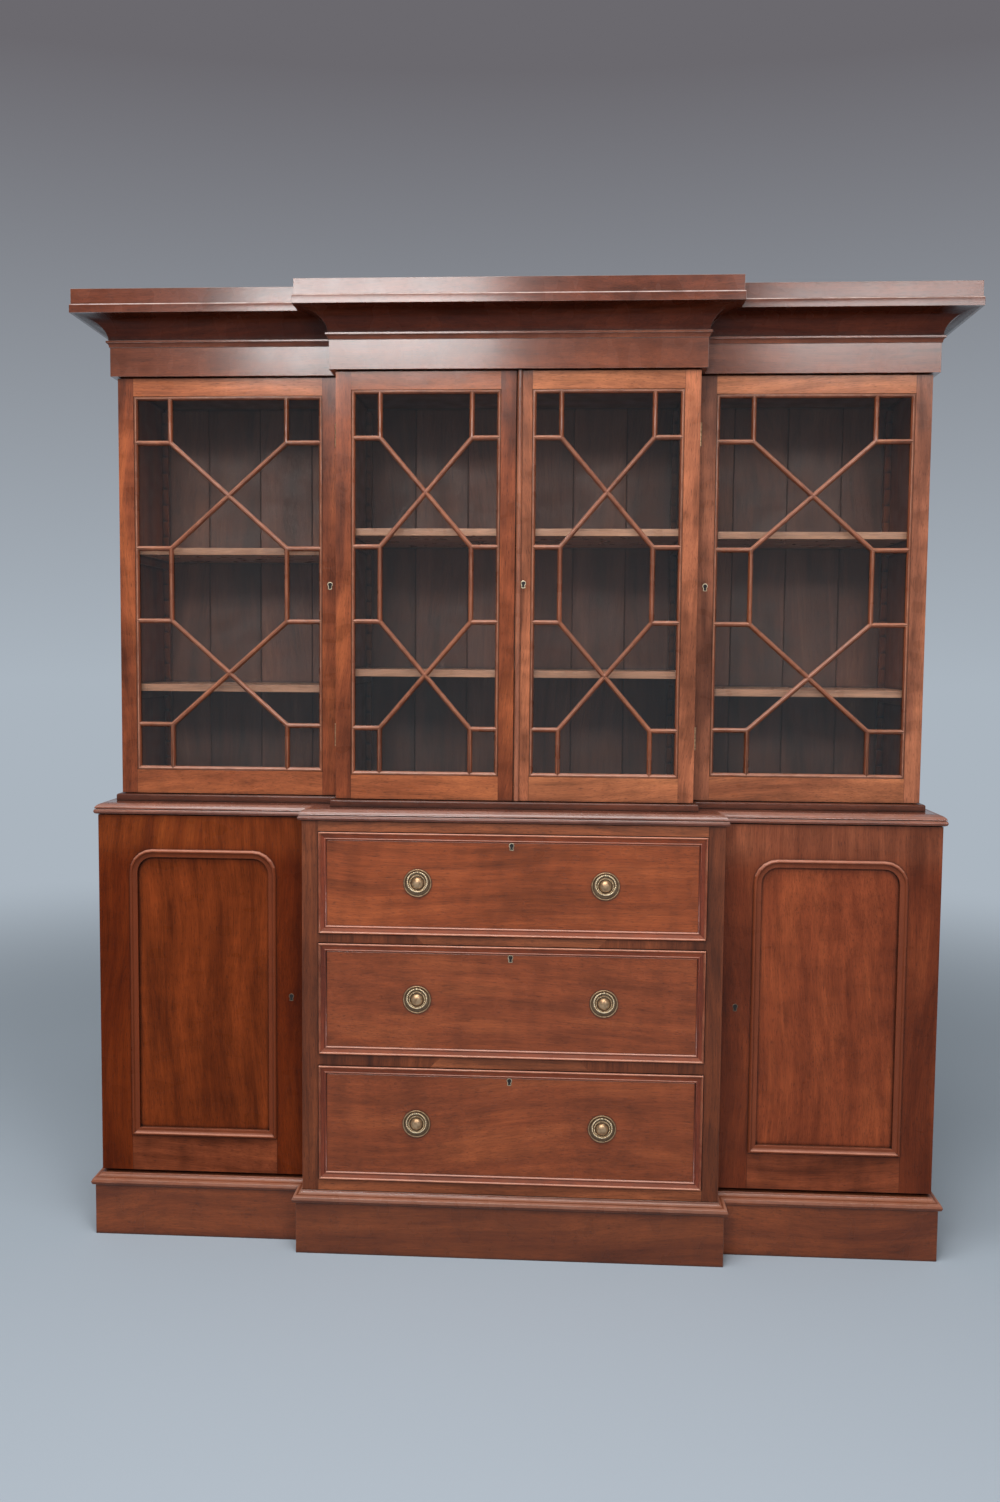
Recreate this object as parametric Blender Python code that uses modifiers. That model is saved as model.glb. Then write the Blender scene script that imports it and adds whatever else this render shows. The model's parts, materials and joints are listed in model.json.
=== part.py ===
# Breakfront bookcase in mahogany: a lower case with two cupboards and three long
# drawers, and an upper case with four glazed doors under a coved cornice.
# Metres, +Z up, the front faces -Y, the origin is the middle of the footprint.

import math

import bmesh
import bpy
from mathutils import Matrix, Vector

# Plan of both cases, measured from the middle line and from the drawer fronts
body_depth = 0.450
break_depth = 0.066
lower_half_width = 0.943
lower_centre_half_width = 0.463
upper_half_width = 0.906
upper_centre_half_width = 0.398
upper_setback = 0.064

# Heights, from the floor up
plinth_height = 0.1416
waist_thickness = 0.025
upper_base_thickness = 0.016
upper_case_height = 0.945
cornice_height = 0.177

# Fits
seat_gap = 0.0003
door_gap = 0.0015
slide_gap = 0.0012
overrun = 0.006
joint_overlap = 0.001
weld_share = 0.01

# Carcass boards
side_thickness = 0.020
upper_side_thickness = 0.018
bottom_thickness = 0.018
top_thickness = 0.018
back_thickness = 0.010
back_board_count = 14
back_groove_width = 0.004
back_groove_depth = 0.002

# Plinth and its base moulding
plinth_seat = 0.020
plinth_board_height = 0.1158
plinth_board_proud = 0.0130
base_nose_proud = 0.0214
base_nose_height = 0.0168
base_cap_proud = 0.0020
plinth_rail_thickness = 0.022
plinth_rail_set_in = 0.006

# Waist moulding and the upper case's base board
waist_nose_proud = 0.0089
waist_nose_height = 0.0130
waist_step = 0.0019
waist_ovolo_width = 0.0230
base_board_proud = 0.0110
base_board_round = 0.0040

# Cornice, from its foot up
frieze_height = 0.0634
frieze_proud = 0.0128
cavetto_height = 0.0096
cavetto_start_proud = 0.0146
cavetto_proud = 0.0204
cavetto_lip_height = 0.0046
cove_start_proud = 0.0154
cove_height = 0.0474
cove_reach = 0.0760
lower_fascia_height = 0.0190
lower_fascia_proud = 0.0815
upper_fascia_proud = 0.0785
cornice_seat = 0.020

# Doors of both cases
door_thickness = 0.022
door_foot_gap = 0.0080
upper_door_gap = 0.0020
meeting_gap = 0.0020
hinge_radius = 0.0030
hinge_offset = 0.0022
hinge_length = 0.0510
upper_hinge_from_top = 0.1350
upper_hinge_from_foot = 0.1420
lower_hinge_from_end = 0.1300

# Glazed doors
wing_outer_stile = 0.0350
wing_inner_stile = 0.0395
centre_outer_stile = 0.0340
centre_inner_stile = 0.0330
glazed_top_rail = 0.0397
glazed_bottom_rail = 0.0537
glass_bead_width = 0.0036
glass_bead_drop = 0.0050
glass_bead_quirk = 0.0012
glass_rebate_depth = 0.0090
glass_thickness = 0.0030
meeting_bead_width = 0.0120
meeting_bead_proud = 0.0055

# Glazing bars, with the places of the joints as shares of the lattice
bar_width = 0.0080
bar_crown_width = 0.0024
bar_shoulder_width = 0.0056
bar_front_drop = 0.0020
bar_crown_depth = 0.0018
bar_shoulder_depth = 0.0042
lattice_border = 0.0034
lattice_column_share = 0.187
lattice_row_shares = (0.1205, 0.4025, 0.5985, 0.8805)

# Panelled cupboard doors
panel_outer_margin = 0.0715
panel_inner_margin = 0.0695
panel_top_margin = 0.0775
panel_foot_margin = 0.0824
bolection_width = 0.0180
bolection_side_rise = 0.0020
bolection_round_width = 0.0062
bolection_proud = 0.0073
bolection_fillet_width = 0.0030
bolection_fillet_rise = 0.0018
bolection_corner_radius = 0.0540
bolection_rebate = 0.0100
bolection_lip_depth = 0.0080
panel_thickness = 0.0080

# Drawers and the frame round them
face_frame_thickness = 0.022
face_stile_width = 0.0358
bottom_rail_height = 0.0245
lower_rail_height = 0.0241
upper_rail_height = 0.0195
top_rail_height = 0.0230
bottom_drawer_height = 0.2596
middle_drawer_height = 0.2503
top_drawer_height = 0.2266
drawer_front_thickness = 0.020
drawer_nose_width = 0.0046
drawer_nose_proud = 0.0060
drawer_nose_side_rise = 0.0034
drawer_slope_width = 0.0088
drawer_slope_foot_rise = 0.0014
drawer_bead_width = 0.0034
drawer_bead_proud = 0.0028
drawer_quirk_width = 0.0024
drawer_quirk_depth = 0.0008
drawer_side_thickness = 0.012
drawer_bottom_thickness = 0.008
drawer_box_depth = 0.360
drawer_headroom = 0.020
drawer_box_inset = 0.0020
runner_reach = 0.016
runner_height = 0.018
guide_height = 0.020

# Ring handles
handle_spacing = 0.4120
handle_rise = 0.0030
plate_radius = 0.0310
plate_thickness = 0.0020
plate_rim_width = 0.0040
plate_rim_height = 0.0014
collar_radius = 0.0160
collar_height = 0.0030
dome_radius = 0.0125
dome_height = 0.0090
ring_radius = 0.0217
ring_wire_radius = 0.0018
ring_stand = 0.0065
ring_pivot_rise = 0.0032
pivot_radius = 0.0021
pivot_length = 0.0080
lug_radius = 0.0017
lug_width = 0.0020
lug_gap = 0.0004

# Shelf racks and shelves in the upper case, with the notches the shelves rest in
rack_width = 0.022
rack_thickness = 0.014
rack_set_in = 0.006
rack_tooth_depth = 0.009
rack_pitch = 0.0392
rack_first_notch = 0.022
rack_headroom = 0.012
bearer_height = 0.018
shelf_thickness = 0.016
shelf_set_in = 0.008
shelf_gap = 0.0010
left_shelf_notches = (5, 13)
centre_shelf_notches = (6, 14)
right_shelf_notches = (5, 14)

# Shelf in each cupboard
cupboard_shelf_share = 0.48
cupboard_shelf_set_in = 0.030
cupboard_bearer_reach = 0.014

# Facets of the round forms
cove_facets = 8
round_facets = 4
corner_facets = 5
hinge_facets = 12
turned_facets = 20
wire_facets = 6

# Edges softer than this many degrees are shaded as one curved face
soft_degrees = 35
lattice_soft_degrees = 50

# Colour, roughness and metallic value of each material
finishes = {
    "mahogany": ((0.150, 0.042, 0.020, 1.0), 0.32, 0.0),
    "dark mahogany": ((0.085, 0.026, 0.014, 1.0), 0.36, 0.0),
    "shelf mahogany": ((0.190, 0.082, 0.044, 1.0), 0.50, 0.0),
    "back boards": ((0.045, 0.022, 0.014, 1.0), 0.60, 0.0),
    "drawer lining": ((0.360, 0.210, 0.110, 1.0), 0.60, 0.0),
    "glass": ((0.850, 0.890, 0.880, 0.35), 0.04, 0.0),
    "aged brass": ((0.420, 0.270, 0.100, 1.0), 0.34, 1.0),
}

# Levels and planes that follow from the sizes above
drawer_heights = (bottom_drawer_height, middle_drawer_height, top_drawer_height)
drawer_rails = (bottom_rail_height, lower_rail_height, upper_rail_height, top_rail_height)
drawer_clearances = 2 * slide_gap * len(drawer_heights)
lower_case_height = sum(drawer_heights) + sum(drawer_rails) + drawer_clearances + 2 * seat_gap
waist_foot = plinth_height + lower_case_height
waist_top = waist_foot + waist_thickness
upper_base_top = waist_top + upper_base_thickness
frieze_foot = upper_base_top + upper_case_height
overall_height = frieze_foot + cornice_height
drawer_plane = (base_nose_proud - body_depth) / 2
back_plane = drawer_plane + body_depth
lower_wing_plane = drawer_plane + break_depth
upper_centre_plane = drawer_plane + upper_setback
upper_wing_plane = upper_centre_plane + break_depth
carcass_back = back_plane - back_thickness - seat_gap
lower_foot = plinth_height + seat_gap
floor_top = lower_foot + bottom_thickness
lower_head = waist_foot - seat_gap
upper_foot = upper_base_top + seat_gap
lid_foot = frieze_foot - seat_gap - top_thickness
upper_head = lid_foot - seat_gap


# Set up the scene: no old objects, one collection for the parts, one for cutters
for old_object in list(bpy.data.objects):
    bpy.data.objects.remove(old_object, do_unlink=True)

parts = bpy.data.collections.new("breakfront_bookcase")
cutters = bpy.data.collections.new("cutters")
bpy.context.scene.collection.children.link(parts)
bpy.context.scene.collection.children.link(cutters)

materials = {}
for finish_name, (colour, roughness, metallic) in finishes.items():
    material = bpy.data.materials.new(finish_name)
    material.use_nodes = True
    shader = material.node_tree.nodes["Principled BSDF"]
    shader.inputs["Base Color"].default_value = colour
    shader.inputs["Roughness"].default_value = roughness
    shader.inputs["Metallic"].default_value = metallic
    shader.inputs["Alpha"].default_value = colour[3]
    materials[finish_name] = material


def add_part(name, mesh, finish, smooth_degrees=0):
    """Make a named part of a mesh and give it its finish."""
    mesh.name = name
    mesh.materials.clear()
    mesh.materials.append(materials[finish])
    if smooth_degrees:
        mesh.shade_smooth()
        mesh.set_sharp_from_angle(angle=math.radians(smooth_degrees))
    part = bpy.data.objects.new(name, mesh)
    parts.objects.link(part)
    return part


def add_cutter(name, mesh):
    """Keep a mesh as a hidden tool for cutting or joining."""
    cutter = bpy.data.objects.new(name, mesh)
    cutter.hide_render = True
    cutter.display_type = "WIRE"
    cutters.objects.link(cutter)
    return cutter


def combine(part, cutter, operation):
    """Cut a part with a cutter, or join the two, by an exact Boolean."""
    modifier = part.modifiers.new(cutter.name, "BOOLEAN")
    modifier.operation = operation
    modifier.solver = "EXACT"
    modifier.object = cutter


def finish_mesh(shape, name):
    """Turn a bmesh into a closed mesh whose faces point out."""
    bmesh.ops.remove_doubles(shape, verts=shape.verts, dist=seat_gap * weld_share)
    bmesh.ops.recalc_face_normals(shape, faces=shape.faces)
    mesh = bpy.data.meshes.new(name)
    shape.to_mesh(mesh)
    shape.free()
    return mesh


def box_mesh(name, low, high):
    """A box between two corners."""
    size = [high[axis] - low[axis] for axis in range(3)]
    middle = [(high[axis] + low[axis]) / 2 for axis in range(3)]
    shape = bmesh.new()
    placing = Matrix.Translation(middle) @ Matrix.Diagonal((*size, 1))
    bmesh.ops.create_cube(shape, size=1, matrix=placing)
    return finish_mesh(shape, name)


def cylinder_mesh(name, radius, length, facets, placing):
    """A cylinder along its own Z, placed by a matrix."""
    shape = bmesh.new()
    bmesh.ops.create_cone(
        shape,
        cap_ends=True,
        segments=facets,
        radius1=radius,
        radius2=radius,
        depth=length,
        matrix=placing,
    )
    return finish_mesh(shape, name)


def loft_mesh(name, sections, closed):
    """Skin a row of sections of equal count, round to the first one or capped."""
    shape = bmesh.new()
    rings = [[shape.verts.new(point) for point in section] for section in sections]
    count = len(rings[0])
    pairs = list(zip(rings, rings[1:]))
    if closed:
        pairs.append((rings[-1], rings[0]))
    for near, far in pairs:
        for index in range(count):
            after = (index + 1) % count
            shape.faces.new((near[index], near[after], far[after], far[index]))
    if not closed:
        shape.faces.new(rings[0])
        shape.faces.new(rings[-1])
    return finish_mesh(shape, name)


def sheet_mesh(name, outlines, thickness, placing):
    """Thicken flat outlines, the later ones being holes, and place the board."""
    curve = bpy.data.curves.new(name, "CURVE")
    curve.dimensions = "2D"
    curve.fill_mode = "BOTH"
    curve.extrude = thickness / 2
    for outline in outlines:
        spline = curve.splines.new("POLY")
        spline.points.add(len(outline) - 1)
        for point, (across, along) in zip(spline.points, outline):
            point.co = (across, along, 0, 1)
        spline.use_cyclic_u = True
    drawn = bpy.data.objects.new(name, curve)
    bpy.context.scene.collection.objects.link(drawn)
    bpy.context.view_layer.update()
    evaluated = drawn.evaluated_get(bpy.context.evaluated_depsgraph_get())
    flat_mesh = bpy.data.meshes.new_from_object(evaluated)
    bpy.data.objects.remove(drawn, do_unlink=True)
    shape = bmesh.new()
    shape.from_mesh(flat_mesh)
    bpy.data.meshes.remove(flat_mesh)
    bmesh.ops.transform(shape, matrix=placing, verts=shape.verts)
    return finish_mesh(shape, name)


def plan_placing(middle_z):
    """Lay an outline of x and y flat at a height."""
    return Matrix.Translation((0, 0, middle_z))


def front_placing(middle_y):
    """Stand an outline of x and z up, facing the front."""
    turn = Matrix(((1, 0, 0, 0), (0, 0, -1, 0), (0, 1, 0, 0), (0, 0, 0, 1)))
    return Matrix.Translation((0, middle_y, 0)) @ turn


def side_placing(middle_x):
    """Stand an outline of y and z up, facing the side."""
    turn = Matrix(((0, 0, 1, 0), (1, 0, 0, 0), (0, 1, 0, 0), (0, 0, 0, 1)))
    return Matrix.Translation((middle_x, 0, 0)) @ turn


def arc_points(centre, radii, start_degrees, end_degrees, facets):
    """Points along part of an ellipse, ends included."""
    points = []
    for step in range(facets + 1):
        angle = math.radians(start_degrees + (end_degrees - start_degrees) * step / facets)
        points.append((centre[0] + radii[0] * math.cos(angle), centre[1] + radii[1] * math.sin(angle)))
    return points


def breakfront_corners(half_width, centre_half_width, centre_plane, proud):
    """The eight plan corners of a case's face, moved out by a distance."""
    outer = half_width + proud
    inner = centre_half_width + proud
    front = centre_plane - proud
    wing = centre_plane + break_depth - proud
    return (
        (-outer, back_plane),
        (-outer, wing),
        (-inner, wing),
        (-inner, front),
        (inner, front),
        (inner, wing),
        (outer, wing),
        (outer, back_plane),
    )


def lower_corners(proud):
    return breakfront_corners(lower_half_width, lower_centre_half_width, drawer_plane, proud)


def upper_corners(proud):
    return breakfront_corners(upper_half_width, upper_centre_half_width, upper_centre_plane, proud)


def mitred_run(name, profile, corners_at):
    """Run a moulding round the breakfront, mitred at its corners, open at the back."""
    outlines = [corners_at(proud) for proud, level in profile]
    sections = []
    for corner in range(len(outlines[0])):
        section = [(*outline[corner], level) for outline, (proud, level) in zip(outlines, profile)]
        sections.append(section)
    return loft_mesh(name, sections, closed=False)


def moulded_slab(name, profile, corners_at):
    """A solid board over the whole plan with a moulded front and ends."""
    sections = []
    for proud, level in profile:
        sections.append([(x, y, level) for x, y in corners_at(proud)])
    return loft_mesh(name, sections, closed=False)


def pivot_empty(name, place):
    """The empty that a moving body hangs on, on its joint's axis."""
    empty = bpy.data.objects.new(name, None)
    empty.empty_display_type = "PLAIN_AXES"
    empty.location = place
    parts.objects.link(empty)
    return empty


def hang(part, pivot):
    """Parent a part modelled in place to a pivot, without moving it."""
    part.data.transform(Matrix.Translation(-pivot.location))
    part.parent = pivot


# Plinth: a mitred board with the base moulding worked on its top
def make_plinth():
    inside = -(door_thickness + plinth_seat)
    nose_radius = base_nose_height / 2
    nose_centre = (base_nose_proud - nose_radius, plinth_board_height + nose_radius)
    nose = arc_points(nose_centre, (nose_radius, nose_radius), -90, 90, round_facets)
    slope_foot = plinth_board_height + base_nose_height
    hollow_centre = (nose_centre[0], plinth_height)
    hollow_radii = (nose_centre[0] - base_cap_proud, plinth_height - slope_foot)
    hollow = arc_points(hollow_centre, hollow_radii, 270, 180, round_facets)
    profile = [(inside, 0), (plinth_board_proud, 0), (plinth_board_proud, plinth_board_height)]
    profile += nose
    profile += hollow[1:]
    profile += [(inside, plinth_height)]
    mesh = mitred_run("plinth", profile, lower_corners)
    plinth = add_part("plinth", mesh, "dark mahogany", soft_degrees)
    reach = lower_half_width + inside + joint_overlap
    rail_mesh = box_mesh(
        "plinth_back_rail",
        (-reach, back_plane - plinth_rail_set_in - plinth_rail_thickness, 0),
        (reach, back_plane - plinth_rail_set_in, plinth_board_height),
    )
    combine(plinth, add_cutter("plinth_back_rail", rail_mesh), "UNION")


# Lower carcass
def cupboard_shelf_underside():
    return floor_top + (lower_head - floor_top) * cupboard_shelf_share


def board_outline(corners):
    """Plan of a board that lies behind the doors and in front of the back."""
    set_back = door_thickness + seat_gap
    return [(x, carcass_back if y == back_plane else y + set_back) for x, y in corners]


def drawer_rows():
    """Foot and top of each drawer front's opening, bottom drawer first."""
    rows = []
    level = lower_foot
    for rail, height in zip(drawer_rails, drawer_heights):
        row_foot = level + rail
        level = row_foot + height + 2 * slide_gap
        rows.append((row_foot, level))
    return rows


def back_outline(half_width):
    """Plan of a boarded back, with a groove between neighbouring boards."""
    front = back_plane - back_thickness
    outline = [(-half_width, back_plane), (-half_width, front)]
    for board in range(1, back_board_count):
        middle = -half_width + 2 * half_width * board / back_board_count
        outline += [
            (middle - back_groove_width / 2, front),
            (middle, front + back_groove_depth),
            (middle + back_groove_width / 2, front),
        ]
    outline += [(half_width, front), (half_width, back_plane)]
    return outline


def make_lower_case():
    middle = (lower_foot + floor_top) / 2
    floor_outline = board_outline(lower_corners(0))
    floor_mesh = sheet_mesh("lower_bottom_board", [floor_outline], bottom_thickness, plan_placing(middle))
    add_part("lower_bottom_board", floor_mesh, "dark mahogany")

    shelf_foot = cupboard_shelf_underside()
    board_foot = floor_top + seat_gap
    wing_front = lower_wing_plane + door_thickness + seat_gap
    wing_length = carcass_back - wing_front
    for word, sign in (("left", -1), ("right", 1)):
        outer = lower_half_width
        inner = outer - side_thickness
        section = [
            (outer, board_foot),
            (outer, lower_head),
            (inner, lower_head),
            (inner, shelf_foot - seat_gap),
            (inner - cupboard_bearer_reach, shelf_foot - seat_gap),
            (inner - cupboard_bearer_reach, shelf_foot - seat_gap - bearer_height),
            (inner, shelf_foot - seat_gap - bearer_height),
            (inner, board_foot),
        ]
        name = f"lower_{word}_side"
        outline = [(sign * x, z) for x, z in section]
        placing = front_placing(wing_front + wing_length / 2)
        add_part(name, sheet_mesh(name, [outline], wing_length, placing), "dark mahogany")
        make_lower_partition(word, sign)

    height = lower_head - lower_foot
    placing = plan_placing(lower_foot + height / 2)
    mesh = sheet_mesh("lower_back", [back_outline(lower_half_width)], height, placing)
    add_part("lower_back", mesh, "back boards")


def make_lower_partition(word, sign):
    """The board beside the drawers, with its runners and guides and a shelf bearer."""
    board_foot = floor_top + seat_gap
    shelf_seat = cupboard_shelf_underside() - seat_gap
    outer = lower_centre_half_width
    inner = outer - side_thickness
    guide_edge = drawer_half_width() - drawer_box_inset + slide_gap
    runner_edge = guide_edge - runner_reach
    section = []
    for row, (row_foot, row_top) in enumerate(drawer_rows()):
        runner_foot = board_foot if row == 0 else row_foot - runner_height
        if row > 0:
            section.append((inner, runner_foot))
        section += [
            (runner_edge, runner_foot),
            (runner_edge, row_foot),
            (guide_edge, row_foot),
            (guide_edge, row_foot + guide_height),
            (inner, row_foot + guide_height),
        ]
    bearer_edge = outer + cupboard_bearer_reach
    section += [(inner, lower_head), (outer, lower_head), (outer, board_foot)]
    front = drawer_plane + face_frame_thickness + seat_gap
    length = carcass_back - front
    name = f"lower_{word}_partition"
    outline = [(sign * x, z) for x, z in section]
    placing = front_placing(front + length / 2)
    partition = add_part(name, sheet_mesh(name, [outline], length, placing), "dark mahogany")
    bearer_front = lower_wing_plane + door_thickness + seat_gap
    bearer_ends = sorted((sign * (outer - joint_overlap), sign * bearer_edge))
    bearer = box_mesh(
        f"{word}_cupboard_bearer",
        (bearer_ends[0], bearer_front, shelf_seat - bearer_height),
        (bearer_ends[1], carcass_back, shelf_seat),
    )
    combine(partition, add_cutter(f"{word}_cupboard_bearer", bearer), "UNION")


def make_cupboard_shelves():
    shelf_foot = cupboard_shelf_underside()
    front = lower_wing_plane + door_thickness + cupboard_shelf_set_in
    inner = lower_centre_half_width + shelf_gap
    outer = lower_half_width - side_thickness - shelf_gap
    for word, sign in (("left", -1), ("right", 1)):
        ends = sorted((sign * inner, sign * outer))
        name = f"{word}_cupboard_shelf"
        shelf = box_mesh(
            name,
            (ends[0], front, shelf_foot),
            (ends[1], carcass_back - shelf_gap, shelf_foot + shelf_thickness),
        )
        add_part(name, shelf, "dark mahogany")


def make_face_frame():
    outer = lower_centre_half_width
    inner = outer - face_stile_width
    outlines = [[(-outer, lower_foot), (outer, lower_foot), (outer, lower_head), (-outer, lower_head)]]
    for row_foot, row_top in drawer_rows():
        outlines.append([(-inner, row_foot), (inner, row_foot), (inner, row_top), (-inner, row_top)])
    placing = front_placing(drawer_plane + face_frame_thickness / 2)
    mesh = sheet_mesh("drawer_face_frame", outlines, face_frame_thickness, placing)
    add_part("drawer_face_frame", mesh, "mahogany")


# Waist board and the board the upper case stands on
def make_waist():
    nose_radii = (waist_nose_proud - waist_step, waist_nose_height / 2)
    nose = arc_points((waist_step, waist_foot + nose_radii[1]), nose_radii, -90, 90, round_facets)
    ovolo_foot = waist_foot + waist_nose_height
    ovolo_start = waist_nose_proud - waist_step - waist_ovolo_width
    ovolo_radii = (waist_ovolo_width, waist_top - ovolo_foot)
    ovolo = arc_points((ovolo_start, ovolo_foot), ovolo_radii, 0, 90, round_facets + 1)
    mesh = moulded_slab("waist_board", nose + ovolo, lower_corners)
    add_part("waist_board", mesh, "mahogany", soft_degrees)


def make_upper_base():
    foot = waist_top + seat_gap
    round_centre = (base_board_proud - base_board_round, upper_base_top - base_board_round)
    rounded = arc_points(round_centre, (base_board_round, base_board_round), 0, 90, round_facets - 1)
    profile = [(base_board_proud, foot)] + rounded
    mesh = moulded_slab("upper_base_board", profile, upper_corners)
    add_part("upper_base_board", mesh, "mahogany", soft_degrees)


# Upper carcass
def notch_level(notch):
    return upper_base_top + rack_first_notch + rack_pitch * notch


def toothed_edge(edge, root, low, high):
    """Points up a rack's notched edge between two levels: ledges and slopes."""
    points = [(edge, low)]
    notch = 0
    while notch_level(notch) < high - rack_tooth_depth:
        level = notch_level(notch)
        if level > low + rack_tooth_depth:
            points += [(edge, level), (root, level)]
        notch += 1
    points.append((edge, high))
    return points


def rack_outlines(front, back, notches):
    """Side view of a bay's two racks with the bearers lying in their notches."""
    low = upper_foot
    high = upper_head - rack_headroom
    front_tip = front + rack_width
    front_root = front_tip - rack_tooth_depth
    back_tip = back - rack_width
    back_root = back_tip + rack_tooth_depth
    bearers = [(notch_level(notch), notch_level(notch) + bearer_height) for notch in notches]
    top_front = toothed_edge(front_tip, front_root, bearers[-1][1], high)
    top_back = toothed_edge(back_tip, back_root, bearers[-1][1], high)
    foot_front = toothed_edge(front_tip, front_root, low, bearers[0][0])
    foot_back = toothed_edge(back_tip, back_root, low, bearers[0][0])
    outer = [(front, low), (front, high)]
    outer += list(reversed(top_front))
    outer += top_back
    outer += [(back, high), (back, low)]
    outer += foot_back
    outer += list(reversed(foot_front))
    middle_front = toothed_edge(front_tip, front_root, bearers[0][1], bearers[-1][0])
    middle_back = toothed_edge(back_tip, back_root, bearers[0][1], bearers[-1][0])
    cell = middle_front + list(reversed(middle_back))
    return [outer, cell]


def add_racks(board, face_x, direction, front, notches):
    """Join a bay's racks and bearers to the face of an upright."""
    outlines = rack_outlines(front + rack_set_in, carcass_back - rack_set_in, notches)
    near = face_x - direction * joint_overlap
    far = face_x + direction * rack_thickness
    name = f"{board.name}_rack_{'a' if direction > 0 else 'b'}"
    mesh = sheet_mesh(name, outlines, abs(far - near), side_placing((near + far) / 2))
    combine(board, add_cutter(name, mesh), "UNION")


def make_upper_case():
    wing_front = upper_wing_plane + door_thickness + seat_gap
    centre_front = upper_centre_plane + door_thickness + seat_gap
    wing_notches = {"left": left_shelf_notches, "right": right_shelf_notches}
    for word, sign in (("left", -1), ("right", 1)):
        outer = sign * upper_half_width
        inner = sign * (upper_half_width - upper_side_thickness)
        name = f"upper_{word}_side"
        mesh = box_mesh(
            name,
            (min(outer, inner), wing_front, upper_foot),
            (max(outer, inner), carcass_back, upper_head),
        )
        side = add_part(name, mesh, "dark mahogany")
        add_racks(side, inner, -sign, wing_front, wing_notches[word])

        outer = sign * upper_centre_half_width
        inner = sign * (upper_centre_half_width - upper_side_thickness)
        name = f"upper_{word}_partition"
        mesh = box_mesh(
            name,
            (min(outer, inner), centre_front, upper_foot),
            (max(outer, inner), carcass_back, upper_head),
        )
        partition = add_part(name, mesh, "dark mahogany")
        add_racks(partition, outer, sign, wing_front, wing_notches[word])
        add_racks(partition, inner, -sign, centre_front, centre_shelf_notches)

    lid = board_outline(upper_corners(0))
    mesh = sheet_mesh("upper_top_board", [lid], top_thickness, plan_placing(lid_foot + top_thickness / 2))
    add_part("upper_top_board", mesh, "dark mahogany")

    height = lid_foot + top_thickness - upper_foot
    placing = plan_placing(upper_foot + height / 2)
    mesh = sheet_mesh("upper_back", [back_outline(upper_half_width)], height, placing)
    add_part("upper_back", mesh, "back boards")


def make_shelf(name, left, right, front, notch):
    """A shelf resting on its bearers, cut out at the corners to clear the racks."""
    foot = notch_level(notch) + bearer_height + seat_gap
    behind = carcass_back - shelf_gap
    cut = rack_thickness + shelf_gap
    front_cut = front + rack_set_in + rack_width + shelf_gap
    back_cut = carcass_back - rack_set_in - rack_width - shelf_gap
    nose = front + shelf_set_in
    low = left + shelf_gap
    high = right - shelf_gap
    outline = [
        (low + cut, nose),
        (high - cut, nose),
        (high - cut, front_cut),
        (high, front_cut),
        (high, back_cut),
        (high - cut, back_cut),
        (high - cut, behind),
        (low + cut, behind),
        (low + cut, back_cut),
        (low, back_cut),
        (low, front_cut),
        (low + cut, front_cut),
    ]
    mesh = sheet_mesh(name, [outline], shelf_thickness, plan_placing(foot + shelf_thickness / 2))
    add_part(name, mesh, "shelf mahogany")


def make_bookshelves():
    wing_front = upper_wing_plane + door_thickness + seat_gap
    centre_front = upper_centre_plane + door_thickness + seat_gap
    inner = upper_centre_half_width
    outer = upper_half_width - upper_side_thickness
    centre = upper_centre_half_width - upper_side_thickness
    bays = (
        ("left", -outer, -inner, wing_front, left_shelf_notches),
        ("centre", -centre, centre, centre_front, centre_shelf_notches),
        ("right", inner, outer, wing_front, right_shelf_notches),
    )
    for word, left, right, front, notches in bays:
        for place, notch in zip(("lower", "upper"), notches):
            make_shelf(f"{word}_{place}_bookshelf", left, right, front, notch)


# Cornice: plain frieze, small cavetto with a lip, deep cove and a stepped fascia
def make_cornice():
    inside = -(door_thickness + cornice_seat)
    level = frieze_foot
    profile = [(inside, level), (frieze_proud, level)]
    level += frieze_height
    profile.append((frieze_proud, level))
    cavetto_radii = (cavetto_proud - cavetto_start_proud, cavetto_height)
    profile += arc_points((cavetto_proud, level), cavetto_radii, 180, 90, round_facets)
    level += cavetto_height + cavetto_lip_height
    profile += [(cavetto_proud, level), (cove_start_proud, level)]
    cove_centre = (cove_reach, level)
    cove_radii = (cove_reach - cove_start_proud, cove_height)
    profile += arc_points(cove_centre, cove_radii, 180, 90, cove_facets)[1:]
    level += cove_height
    profile.append((lower_fascia_proud, level))
    level += lower_fascia_height
    profile += [(lower_fascia_proud, level), (upper_fascia_proud, level)]
    profile += [(upper_fascia_proud, overall_height), (inside, overall_height)]
    mesh = mitred_run("cornice", profile, upper_corners)
    add_part("cornice", mesh, "mahogany", soft_degrees)


def rectangle(left, right, low, high, inset):
    """Corners of a rectangle in the door's face, drawn in by a distance."""
    return [
        (left + inset, low + inset),
        (right - inset, low + inset),
        (right - inset, high - inset),
        (left + inset, high - inset),
    ]


def at_depth(outline, y):
    return [(x, y, z) for x, z in outline]


def add_hinges(frame, pivot_x, pivot_y, middles):
    """Join the hinge barrels to a door's back edge."""
    for index, middle in enumerate(middles):
        name = f"{frame.name}_barrel_{index}"
        placing = Matrix.Translation((pivot_x, pivot_y, middle))
        mesh = cylinder_mesh(name, hinge_radius, hinge_length, hinge_facets, placing)
        combine(frame, add_cutter(name, mesh), "UNION")


# Glazed doors
def glazed_levels():
    return upper_base_top + upper_door_gap, frieze_foot - upper_door_gap


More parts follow.
